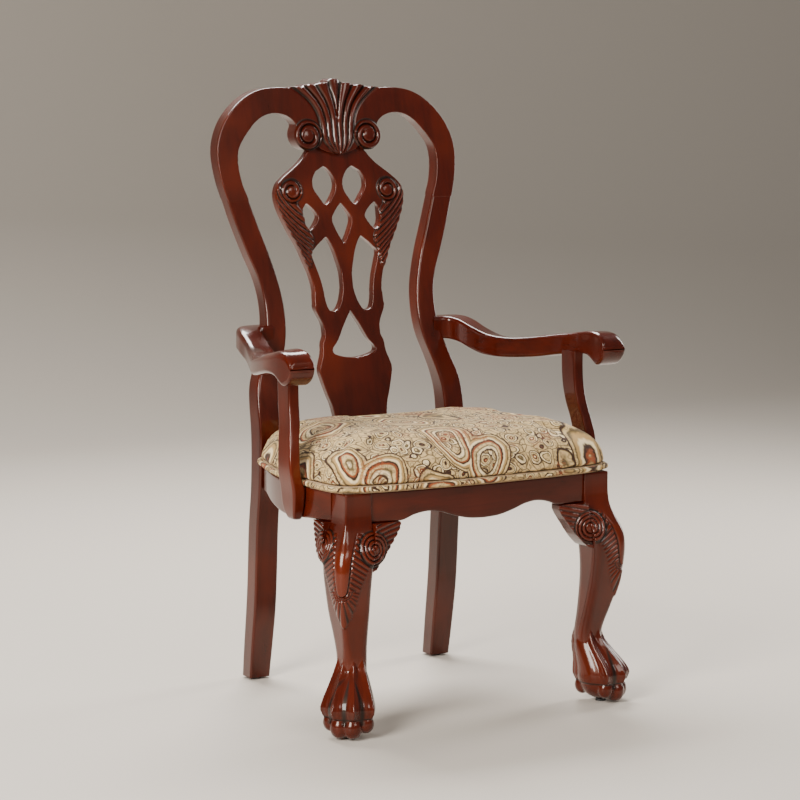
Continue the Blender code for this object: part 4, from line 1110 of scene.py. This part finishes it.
def ear_relief(across, height):
    """Relief of the scroll on a face of the knee, for the place along that face."""
    dx, dz = across - EAR_SCROLL[0], height - EAR_SCROLL[1]
    distance = np.hypot(dx, dz)
    turn = np.mod(np.arctan2(dz, dx) - 0.8, 2 * math.pi)
    scroll, shade = scroll_relief(distance, turn, EAR_SCROLL_RADIUS, 0.0072, 0.0034, 0.26)
    near = 1.0 - step(EAR_SCROLL_RADIUS * 0.96, EAR_SCROLL_RADIUS * 1.10, distance)
    return scroll * near, shade, near


def carve_leg(mesh, side):
    points, normals = points_of(mesh), normals_of(mesh)
    height = points[:, 2]
    x_in = side * points[:, 0]
    y_in = points[:, 1] - FRONT_LINE
    clipped = np.clip(height, 0.05, RAIL_TOP)
    middle = (read_at(LEG_OUTER, clipped) + read_at(LEG_INNER, clipped)) / 2
    half = (read_at(LEG_OUTER, clipped) - read_at(LEG_INNER, clipped)) / 2
    u = x_in - middle
    v = LEG_DIAGONAL - middle - y_in
    facing = step(0.30, 0.80, np.maximum(side * normals[:, 0], -normals[:, 1]))
    facing *= step(0.45, 0.75, np.maximum(u, v) / half)
    relief, shade = knee_relief(v - u, height)
    front_scroll = ear_relief(x_in, height)
    side_scroll = ear_relief(LEG_DIAGONAL - y_in, height)
    on_front = (-normals[:, 1] > 0.6)
    on_side = (side * normals[:, 0] > 0.6) * (1 - on_front)
    for (scroll, dark, near), on_face in ((front_scroll, on_front), (side_scroll, on_side)):
        relief = relief * (1 - near * on_face) + scroll * on_face
        shade = shade * (1 - near * on_face) + dark * on_face
    amount = facing * (1.0 - step(*UNDER_RAIL, height))
    points += normals * (relief * amount)[:, None]
    move_points(mesh, points)
    store(mesh, "hollow", np.maximum(shade * amount, toe_shade(points, side)))
    store(mesh, "worn", 0.5 * amount * (relief > 0.0012) + 0.25 * step(0.11, 0.06, height))


def toe_shade(points, side):
    """The glaze that stays between the toes and above the ball."""
    x, y, height = side * points[:, 0] - FOOT[0], points[:, 1] - FRONT_LINE - FOOT[1], points[:, 2]
    angle = np.degrees(np.arctan2(y, x)) + 45.0
    gap = np.min([np.abs(angle - side_angle) for side_angle in (-44.0, 0.0, 44.0)], axis=0)
    between = np.exp(-(gap / 8.0)**2) * step(0.020, 0.030, height)
    cuff = np.exp(-((height - 0.0370) / 0.0018)**2) * (np.hypot(x, y) > 0.030)
    return np.maximum(0.8 * between * (1.0 - step(0.085, 0.115, height)), 0.8 * cuff)


def front_leg(side_name):
    side = SIDES[side_name]
    bodies = [leg_rings(side), web_rings(side), ball_rings(side)]
    bodies += [toe_rings(side, angle) for angle in TOE_ANGLES]
    for angle in TOE_ANGLES:
        bodies.append(claw_rings(side, angle, FRONT_CLAW if abs(angle) < 45 else SIDE_CLAW))
    mesh = even_net(joined(f"leg_{side_name}", bodies), LEG_NET, 8)
    carve_leg(mesh, side)
    leg = new_piece(f"cabriole_leg_{side_name}", mesh, WOOD["Z"], CARVED_ANGLE)
    return finished(leg, "carved_wood", f"front_leg_{side_name}")


for side_name in SIDES:
    front_leg(side_name)


# %% Ears beside the knees
def copy_of_node(node):
    """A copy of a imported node's mesh, welded so that it is closed."""
    return cleaned(frame["nodes"][node].data.copy(), 1e-5, outwards=False)


def reach_into_leg(mesh, node, side, on_front):
    """Carries the glued face of an ear on into the leg, so no groove shows at the joint."""
    low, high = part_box(node)
    points = points_of(mesh)
    if on_front:
        glued = (side * points[:, 0]) > max(side * low.x, side * high.x) - 0.0010
        points[:, 0] += side * EAR_OVERLAP * glued
    else:
        glued = points[:, 1] < low.y + 0.0010
        points[:, 1] -= EAR_OVERLAP * glued
    move_points(mesh, points)


def knee_ear(node, side_name, on_front):
    side = SIDES[side_name]
    mesh = copy_of_node(node)
    reach_into_leg(mesh, node, side, on_front)
    mesh = even_net(mesh, EAR_NET, 4)
    points, normals = points_of(mesh), normals_of(mesh)
    if on_front:
        across = side * points[:, 0]
        facing = step(0.30, 0.75, -normals[:, 1])
    else:
        across = LEG_DIAGONAL - (points[:, 1] - FRONT_LINE)
        facing = step(0.30, 0.75, side * normals[:, 0])
    scroll, shade, near = ear_relief(across, points[:, 2])
    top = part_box(node)[1].z - points[:, 2]
    leaf = (top + 0.22 * (EAR_SCROLL[0] - across)) / 0.0085
    crown = 1.0 - (2.0 * (leaf - np.round(leaf)))**2
    relief = scroll + (1 - near) * (0.0020 * crown - 0.0004)
    shade = np.maximum(shade, (1 - near) * (1.0 - crown)**2)
    points += normals * (relief * facing)[:, None]
    move_points(mesh, points)
    store(mesh, "hollow", shade * facing)
    store(mesh, "worn", 0.4 * facing * (relief > 0.001))
    ear = new_piece(node.replace("knee_block", "knee_ear"), mesh, WOOD["Z"], CARVED_ANGLE)
    return finished(ear, "carved_wood", node)


for side_name in SIDES:
    knee_ear(f"knee_block_front_{side_name}", side_name, True)
    knee_ear(f"knee_block_side_{side_name}", side_name, False)

# %% [markdown]
# ## The cloth
#
# The cover is a woven paisley: drops and medallions outlined in dark brown, filled with thinner
# and thinner contours, on a cream ground with olive and rust fillings. Cells of a Voronoi
# texture give the drops. Bending the space that they are read in with noise turns round cells
# into curled ones, and the distance to a cell's middle gives nested contours for free.

# %% Paisley cloth
CREAM = (0.600, 0.415, 0.185)
PALE = (0.800, 0.620, 0.345)
GOLD = (0.420, 0.255, 0.090)
OLIVE = (0.130, 0.086, 0.034)
RUST = (0.270, 0.060, 0.018)
OUTLINE = (0.036, 0.014, 0.007)
MEDALLION = [
    (0.00, GOLD), (0.165, OUTLINE), (0.19, PALE), (0.225, OLIVE), (0.245, CREAM), (0.28, RUST),
    (0.30, OUTLINE), (0.325, PALE), (0.355, GOLD), (0.385, OLIVE), (0.405, CREAM),
    (0.435, OUTLINE),
]
FLOWER = [
    (0.00, PALE), (0.09, RUST), (0.15, OUTLINE), (0.21, CREAM), (0.33, OLIVE), (0.38, PALE),
    (0.46, OUTLINE), (0.53, CREAM),
]
EDGE_BLUR = 0.006
MEDALLION_SIZE = 9.6       # cells in a metre, so a lower number is a larger medallion
FLOWER_SIZE = 40.0
SEED_SIZE = 120.0
THREADS = 2400.0


def banded(bands):
    """Ramp stops for bands of one colour each, with a soft step where two meet."""
    stops = [bands[0]]
    for (_, before), (start, after) in zip(bands, bands[1:]):
        stops += [(start - EDGE_BLUR, before), (start + EDGE_BLUR, after)]
    return stops


def cells(finish, where, scale, feature="F1", output="Distance"):
    made = finish.node("TexVoronoi", {"feature": feature}, {"Vector": where, "Scale": scale})
    return Value(finish, made.socket.node.outputs[output])


def bent(finish, where, scale, amount):
    """A place pushed about by a slow noise, so that what is read there curls."""
    push = finish.noise(where, scale, 1.0, output=1)
    push = finish.node("VectorMath", {"operation": "SUBTRACT"}, {0: push, 1: (0.5, 0.5, 0.5)})
    push = finish.node("VectorMath", {"operation": "SCALE"}, {0: push, "Scale": amount})
    return finish.node("VectorMath", {"operation": "ADD"}, {0: where, 1: push})


def line(value, middle, width):
    """1 on a thin line where the value passes a middle, 0 away from it."""
    return 1.0 - (value - middle).math("ABSOLUTE").rise(width * 0.45, width)


def paisley(name, fine=1.0):
    finish = Finish(name)
    spot = finish.place()
    flat = finish.place((1.0, 0.72, 0.55))
    curled = bent(finish, bent(finish, flat, 8.0, 0.080), 21.0, 0.015)
    small = bent(finish, bent(finish, spot, 16.0, 0.030), 60.0, 0.008)
    tiny = cells(finish, small, SEED_SIZE)
    medal = cells(finish, curled, MEDALLION_SIZE) + 0.014 * tiny
    flower = cells(finish, small, FLOWER_SIZE)
    flower_edge = cells(finish, small, FLOWER_SIZE, "DISTANCE_TO_EDGE")
    mottle = finish.noise(spot, 17.0, 3.0)
    speck = finish.noise(small, 260.0, 2.0)

    nest = finish.node("ValToRGB", {"stops": banded(MEDALLION)}, {"Fac": medal})
    ground = finish.node("ValToRGB", {"stops": banded(FLOWER)}, {"Fac": flower})
    ground = finish.mix(ground, OUTLINE, (1.0 - flower_edge.rise(0.02, 0.05)) * 0.75)
    cloth = finish.mix(nest, ground, medal.rise(0.458, 0.466))
    heart = 1.0 - medal.rise(0.158, 0.168)
    cloth = finish.mix(cloth, finish.mix(ground, RUST, mottle.rise(0.45, 0.60) * 0.55), heart)
    lace = line(tiny, 0.38, 0.16) * (1.0 - line(medal, 0.34, 0.06))
    cloth = finish.mix(cloth, OUTLINE, lace * 0.40)
    cloth = finish.mix(cloth, RUST, mottle.rise(0.54, 0.64) * speck.rise(0.42, 0.58) * 0.60)
    thread = finish.noise(spot, 900.0, 1.0)
    cloth = finish.mix(cloth, PALE, thread.rise(0.50, 0.80) * 0.12)
    finish.set(Base_Color=cloth, Roughness=0.82 + 0.12 * thread)
    finish.set(Sheen_Weight=0.05, Sheen_Roughness=0.45, Specular_IOR_Level=0.22)

    across = finish.node("SeparateXYZ", None, {"Vector": spot})
    down = Value(finish, across.socket.node.outputs[1])
    up = Value(finish, across.socket.node.outputs[2])
    warp = (across * (THREADS * fine)).math("SINE")
    weft = ((down + up) * (THREADS * fine)).math("SINE")
    finish.bump(0.35 * warp * weft + 0.5 * thread + 0.4 * line(tiny, 0.38, 0.14), 0.5, 0.0006)
    return finish.material


CLOTH = paisley("paisley_cloth")
PIPING = paisley("paisley_piping", 1.4)

# %% [markdown]
# ## The cushion
#
# A crowned pad: it rises from a tight hem, bulges a little over the rails and domes in the
# middle. The net is drawn over a slightly small pad, and a short cloth simulation with air
# pressure inside fills it, with the hem held fast. The travel is capped so that the pad keeps
# its place between the arm supports.

# %% Plan of the seat
SEAT_EDGE = [
    (0.000, -0.0200), (0.100, -0.0160), (0.180, -0.0100), (0.235, -0.0010), (0.268, 0.0150),
    (0.281, 0.0450), (0.2850, 0.0900), (0.2858, 0.1350), (0.282, 0.1950), (0.268, 0.2700),
    (0.248, 0.3400), (0.237, 0.3720), (0.222, 0.3920), (0.195, 0.3990), (0.100, 0.4005),
    (0.000, 0.4005),
]
SEAT_MIDDLE = np.array([0.0, 0.19])


def seat_outline(inset, count=160):
    """Plan of the seat at even steps, drawn in by a distance along its own normal."""
    ring = both_halves(smooth_line(SEAT_EDGE)[::-1])
    closed = np.vstack([ring, ring[:1]])
    lengths = lengths_along(closed)
    even = np.linspace(0.0, lengths[-1], count, endpoint=False)
    ring = np.stack([np.interp(even, lengths, closed[:, i]) for i in range(2)], axis=1)
    ahead = np.roll(ring, -1, axis=0) - np.roll(ring, 1, axis=0)
    ahead /= np.linalg.norm(ahead, axis=1)[:, None]
    inward = np.stack([ahead[:, 1], -ahead[:, 0]], axis=1)
    inward *= np.sign((inward * (SEAT_MIDDLE - ring)).sum(axis=1))[:, None]
    return ring + inward * inset


# %% Fill the pad
PAD_LOW, PAD_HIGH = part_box("seat_foam")[0].z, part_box("seat_cover")[1].z
CROWN = [
    (0.0040, 0.000), (0.0030, 0.060), (0.0020, 0.180), (0.0045, 0.340), (0.0120, 0.520),
    (0.0250, 0.690), (0.0470, 0.830), (0.0780, 0.920), (0.1180, 0.972), (0.1560, 0.992),
]
HEM_HOLD = 0.005
PAD_TRAVEL = 0.006
PAD_NET = 0.0055
AIR_FRAMES = 20
GATHER = 0.0009
SLACK = 0.0004


def pad_rings():
    rings = [[(x, y, PAD_LOW) for x, y in seat_outline(inset)] for inset in (0.150, 0.080, 0.030)]
    rise = PAD_HIGH + 0.001 - PAD_LOW
    for inset, share in CROWN:
        rings.append([(x, y, PAD_LOW + rise * share) for x, y in seat_outline(inset)])
    return rings


def fill_with_air(piece):
    """A short cloth simulation: pressure inside, no gravity, the hem held fast."""
    mesh = piece.data
    before = points_of(mesh)
    held = piece.vertex_groups.new(name="held")
    hem = [i for i, z in enumerate(before[:, 2]) if z < PAD_LOW + HEM_HOLD]
    held.add(hem, 1.0, "REPLACE")
    cloth = piece.modifiers.new("air", "CLOTH")
    cloth.settings.quality = 6
    cloth.settings.mass = 0.3
    cloth.settings.use_pressure = True
    cloth.settings.uniform_pressure_force = 4.0
    cloth.settings.effector_weights.gravity = 0.0
    cloth.settings.vertex_group_mass = "held"
    cloth.settings.tension_stiffness = 25.0
    cloth.settings.compression_stiffness = 25.0
    cloth.settings.bending_stiffness = 2.0
    cloth.point_cache.frame_start = 1
    cloth.point_cache.frame_end = AIR_FRAMES
    for number in range(1, AIR_FRAMES + 1):
        bpy.context.scene.frame_set(number)
    filled = points_of(evaluated_mesh(piece))
    piece.modifiers.remove(cloth)
    bpy.context.scene.frame_set(1)
    travel = filled - before
    length = np.linalg.norm(travel, axis=1)
    travel *= (np.minimum(length, PAD_TRAVEL) / np.maximum(length, 1e-9))[:, None]
    move_points(mesh, before + travel)
    print("air moved the pad by up to", round(float(length.max()) * 1000, 1), "mm before the cap")


def pulled_cloth(points):
    """Small gathers where the cloth is drawn down to the hem, and slack over the crown."""
    x, y, z = points[:, 0], points[:, 1] - FRONT_LINE, points[:, 2]
    around = np.arctan2(y - SEAT_MIDDLE[1], x)
    low = 1.0 - step(PAD_LOW + 0.006, PAD_LOW + 0.034, z)
    gathers = np.sin(around * 41.0 + 1.7 * np.sin(around * 7.0)) * np.sin(around * 13.0)
    slack = np.sin(23.0 * x + 5.0 * y + 1.0) * np.sin(19.0 * y - 7.0 * x)
    return GATHER * low * gathers, SLACK * slack * (1.0 - low)


def cushion():
    mesh = even_net(mesh_from("cushion", *skin(pad_rings())), PAD_NET, 3)
    piece = new_piece("seat_cushion", mesh, CLOTH, 80.0)
    fill_with_air(piece)
    points, normals = points_of(mesh), normals_of(mesh)
    out, slack = pulled_cloth(points)
    points += normals * (out + slack)[:, None]
    move_points(mesh, points)
    finer = piece.modifiers.new("finer", "SUBSURF")
    finer.levels = finer.render_levels = 1
    fine = evaluated_mesh(piece)
    piece.modifiers.remove(finer)
    piece.data = fine
    return finished(piece, "upholstery", "seat_foam", "seat_cover")


cushion()

# %% Piping
WELT_RADIUS = 0.0043
WELT_INSET = 0.0008
WELT_HEIGHT = (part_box("seat_welt")[0].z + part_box("seat_welt")[1].z) / 2


def piping():
    """A cord wrapped in the cover's own cloth: fine slanting ridges wind round it."""
    rings = []
    for number, (x, y) in enumerate(seat_outline(WELT_INSET, 900)):
        way = np.array([x, y]) - SEAT_MIDDLE
        way /= np.linalg.norm(way)
        turns = np.linspace(0.0, 2 * math.pi, 12, endpoint=False)
        radius = WELT_RADIUS + 0.00035 * np.sin(2 * turns + number * 2 * math.pi / 7.5)
        rings.append([(x + r * math.cos(t) * way[0], y + r * math.cos(t) * way[1],
                       WELT_HEIGHT + r * math.sin(t)) for r, t in zip(radius, turns)])
    welt = loft("seat_piping", rings, PIPING, closed=True)
    return finished(welt, "upholstery", "seat_welt")


piping()

# %% [markdown]
# ## The plain pieces
#
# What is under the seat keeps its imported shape, because it is sawn square in the real chair
# too. It only needs its own finish: pale glue blocks, a plywood board, black cambric, zinc
# screws, beech dowels and hard black glides.

# %% Finishes for the hidden pieces
def bare_wood(name, dark, light, along):
    finish = Finish(name)
    grain = finish.noise(finish.place(GRAIN_STRETCH[along]), 90.0, 5.0, 0.6, 0.5)
    finish.set(Base_Color=finish.mix(dark, light, grain.rise(0.3, 0.7)))
    finish.set(Roughness=0.62 + 0.15 * grain, Specular_IOR_Level=0.3)
    finish.bump(grain, 0.25, 0.0005)
    return finish.material


def plain_finish(name, dark, light, scale, rough, metallic=0.0):
    finish = Finish(name)
    patch = finish.noise(finish.place(), scale, 4.0)
    finish.set(Base_Color=finish.mix(dark, light, patch.rise(0.35, 0.65)))
    finish.set(Roughness=rough + 0.12 * patch, Metallic=metallic)
    finish.bump(patch, 0.15, 0.0003)
    return finish.material


BLOCK_WOOD = bare_wood("glue_block_wood", (0.30, 0.17, 0.080), (0.44, 0.28, 0.150), "X")
DOWEL_WOOD = bare_wood("beech", (0.48, 0.31, 0.170), (0.60, 0.42, 0.250), "Z")
PLYWOOD = bare_wood("plywood", (0.36, 0.24, 0.130), (0.50, 0.35, 0.210), "Y")
CAMBRIC = plain_finish("black_cambric", (0.012, 0.012, 0.012), (0.030, 0.030, 0.030), 700.0, 0.80)
ZINC = plain_finish("zinc", (0.36, 0.35, 0.33), (0.55, 0.54, 0.51), 300.0, 0.30, 1.0)
HARD_BLACK = plain_finish("glide_black", (0.010, 0.010, 0.010), (0.024, 0.024, 0.024), 250.0, 0.42)

FINISH_FOR = {"screw": ZINC, "dowel": DOWEL_WOOD, "corner_block": BLOCK_WOOD,
              "glide": HARD_BLACK, "dust_cover": CAMBRIC, "seat_board": PLYWOOD}

for name, node in frame["nodes"].items():
    if not node.hide_render:
        chosen = next(finish for word, finish in FINISH_FOR.items() if word in name)
        node.data.materials.clear()
        node.data.materials.append(chosen)
print("packed nodes still shown:", sum(not n.hide_render for n in frame["nodes"].values()))

# %% [markdown]
# ## Floor, light and camera
#
# A pale floor that curves up behind the chair. A soft light on the left and one above and
# behind give the long highlights, two weaker ones fill in from the front and the right, and the
# sky is faint and even. The camera is a long lens at about the height of the crest, well back
# and to the left.

# %% Stage
FLOOR_COLOUR = (0.56, 0.50, 0.43)
FLOOR_FRONT = -9.0
FLOOR_HALF_WIDTH = 14.0
SWEEP_START = 3.4
SWEEP_RADIUS = 2.2
WALL_TOP = 7.0
SKY_COLOUR = (0.93, 0.94, 0.95, 1.0)
SKY_STRENGTH = 0.24
LIGHTS = [   # name, place, height aimed at, size, power, colour
    ("window_left", (-3.0, -1.6, 2.0), 0.6, (1.3, 1.9), 230.0, (1.0, 0.98, 0.95)),
    ("fill_front", (0.6, -4.2, 2.9), 0.5, (2.2, 1.2), 60.0, (1.0, 0.97, 0.93)),
    ("strip_right", (2.6, 0.4, 1.6), 0.6, (0.7, 2.2), 60.0, (1.0, 0.98, 0.95)),
    ("top_back", (0.3, 1.9, 3.0), 0.7, (2.4, 1.2), 230.0, (1.0, 1.0, 1.0)),
]


def sweep():
    """A floor that turns up into a wall in one smooth curve."""
    angles = np.radians(np.linspace(0.0, 90.0, 40))
    bend = [(SWEEP_START + SWEEP_RADIUS * math.sin(a), SWEEP_RADIUS * (1 - math.cos(a)))
            for a in angles]
    profile = [(FLOOR_FRONT, 0.0)] + bend + [(SWEEP_START + SWEEP_RADIUS, WALL_TOP)]
    points = [(x, y, z) for x in (-FLOOR_HALF_WIDTH, FLOOR_HALF_WIDTH) for y, z in profile]
    count = len(profile)
    faces = [(i, i + 1, count + i + 1, count + i) for i in range(count - 1)]
    mesh = mesh_from("floor_sweep", points, faces)
    finish = Finish("pale_floor")
    finish.set(Base_Color=FLOOR_COLOUR, Roughness=0.60, Specular_IOR_Level=0.25)
    floor = new_piece("floor_sweep", mesh, finish.material, 80.0)


def soft_light(name, place, aim_height, size, power, colour):
    lamp = bpy.data.lights.new(name, "AREA")
    lamp.shape = "RECTANGLE"
    lamp.size, lamp.size_y = size
    lamp.energy = power
    lamp.color = colour
    holder = bpy.data.objects.new(name, lamp)
    holder.location = place
    way = Vector((0.0, 0.0, aim_height)) - Vector(place)
    holder.rotation_euler = way.to_track_quat("-Z", "Y").to_euler()
    bpy.context.scene.collection.objects.link(holder)


sweep()
for light in LIGHTS:
    soft_light(*light)
world = bpy.data.worlds.new("sky")
world.use_nodes = True
sky = world.node_tree.nodes["Background"]
sky.inputs["Color"].default_value = SKY_COLOUR
sky.inputs["Strength"].default_value = SKY_STRENGTH
bpy.context.scene.world = world
print("lights:", [light[0] for light in LIGHTS])

# %% Camera
FOCAL_LENGTH = 118.26
CAMERA_PLACE = (-2.3775, -3.7691 + FRONT_LINE, 1.1137)
CAMERA_UP_FROM_DOWN = 82.87     # degrees
CAMERA_TURN = -30.43            # degrees
lens = bpy.data.cameras.new("camera")
lens.lens = FOCAL_LENGTH
lens.sensor_width = 36.0
camera = bpy.data.objects.new("camera", lens)
camera.location = CAMERA_PLACE
camera.rotation_euler = Euler((math.radians(CAMERA_UP_FROM_DOWN), 0.0, math.radians(CAMERA_TURN)))
bpy.context.scene.collection.objects.link(camera)
bpy.context.scene.camera = camera
print("camera at", [round(value, 3) for value in camera.location])
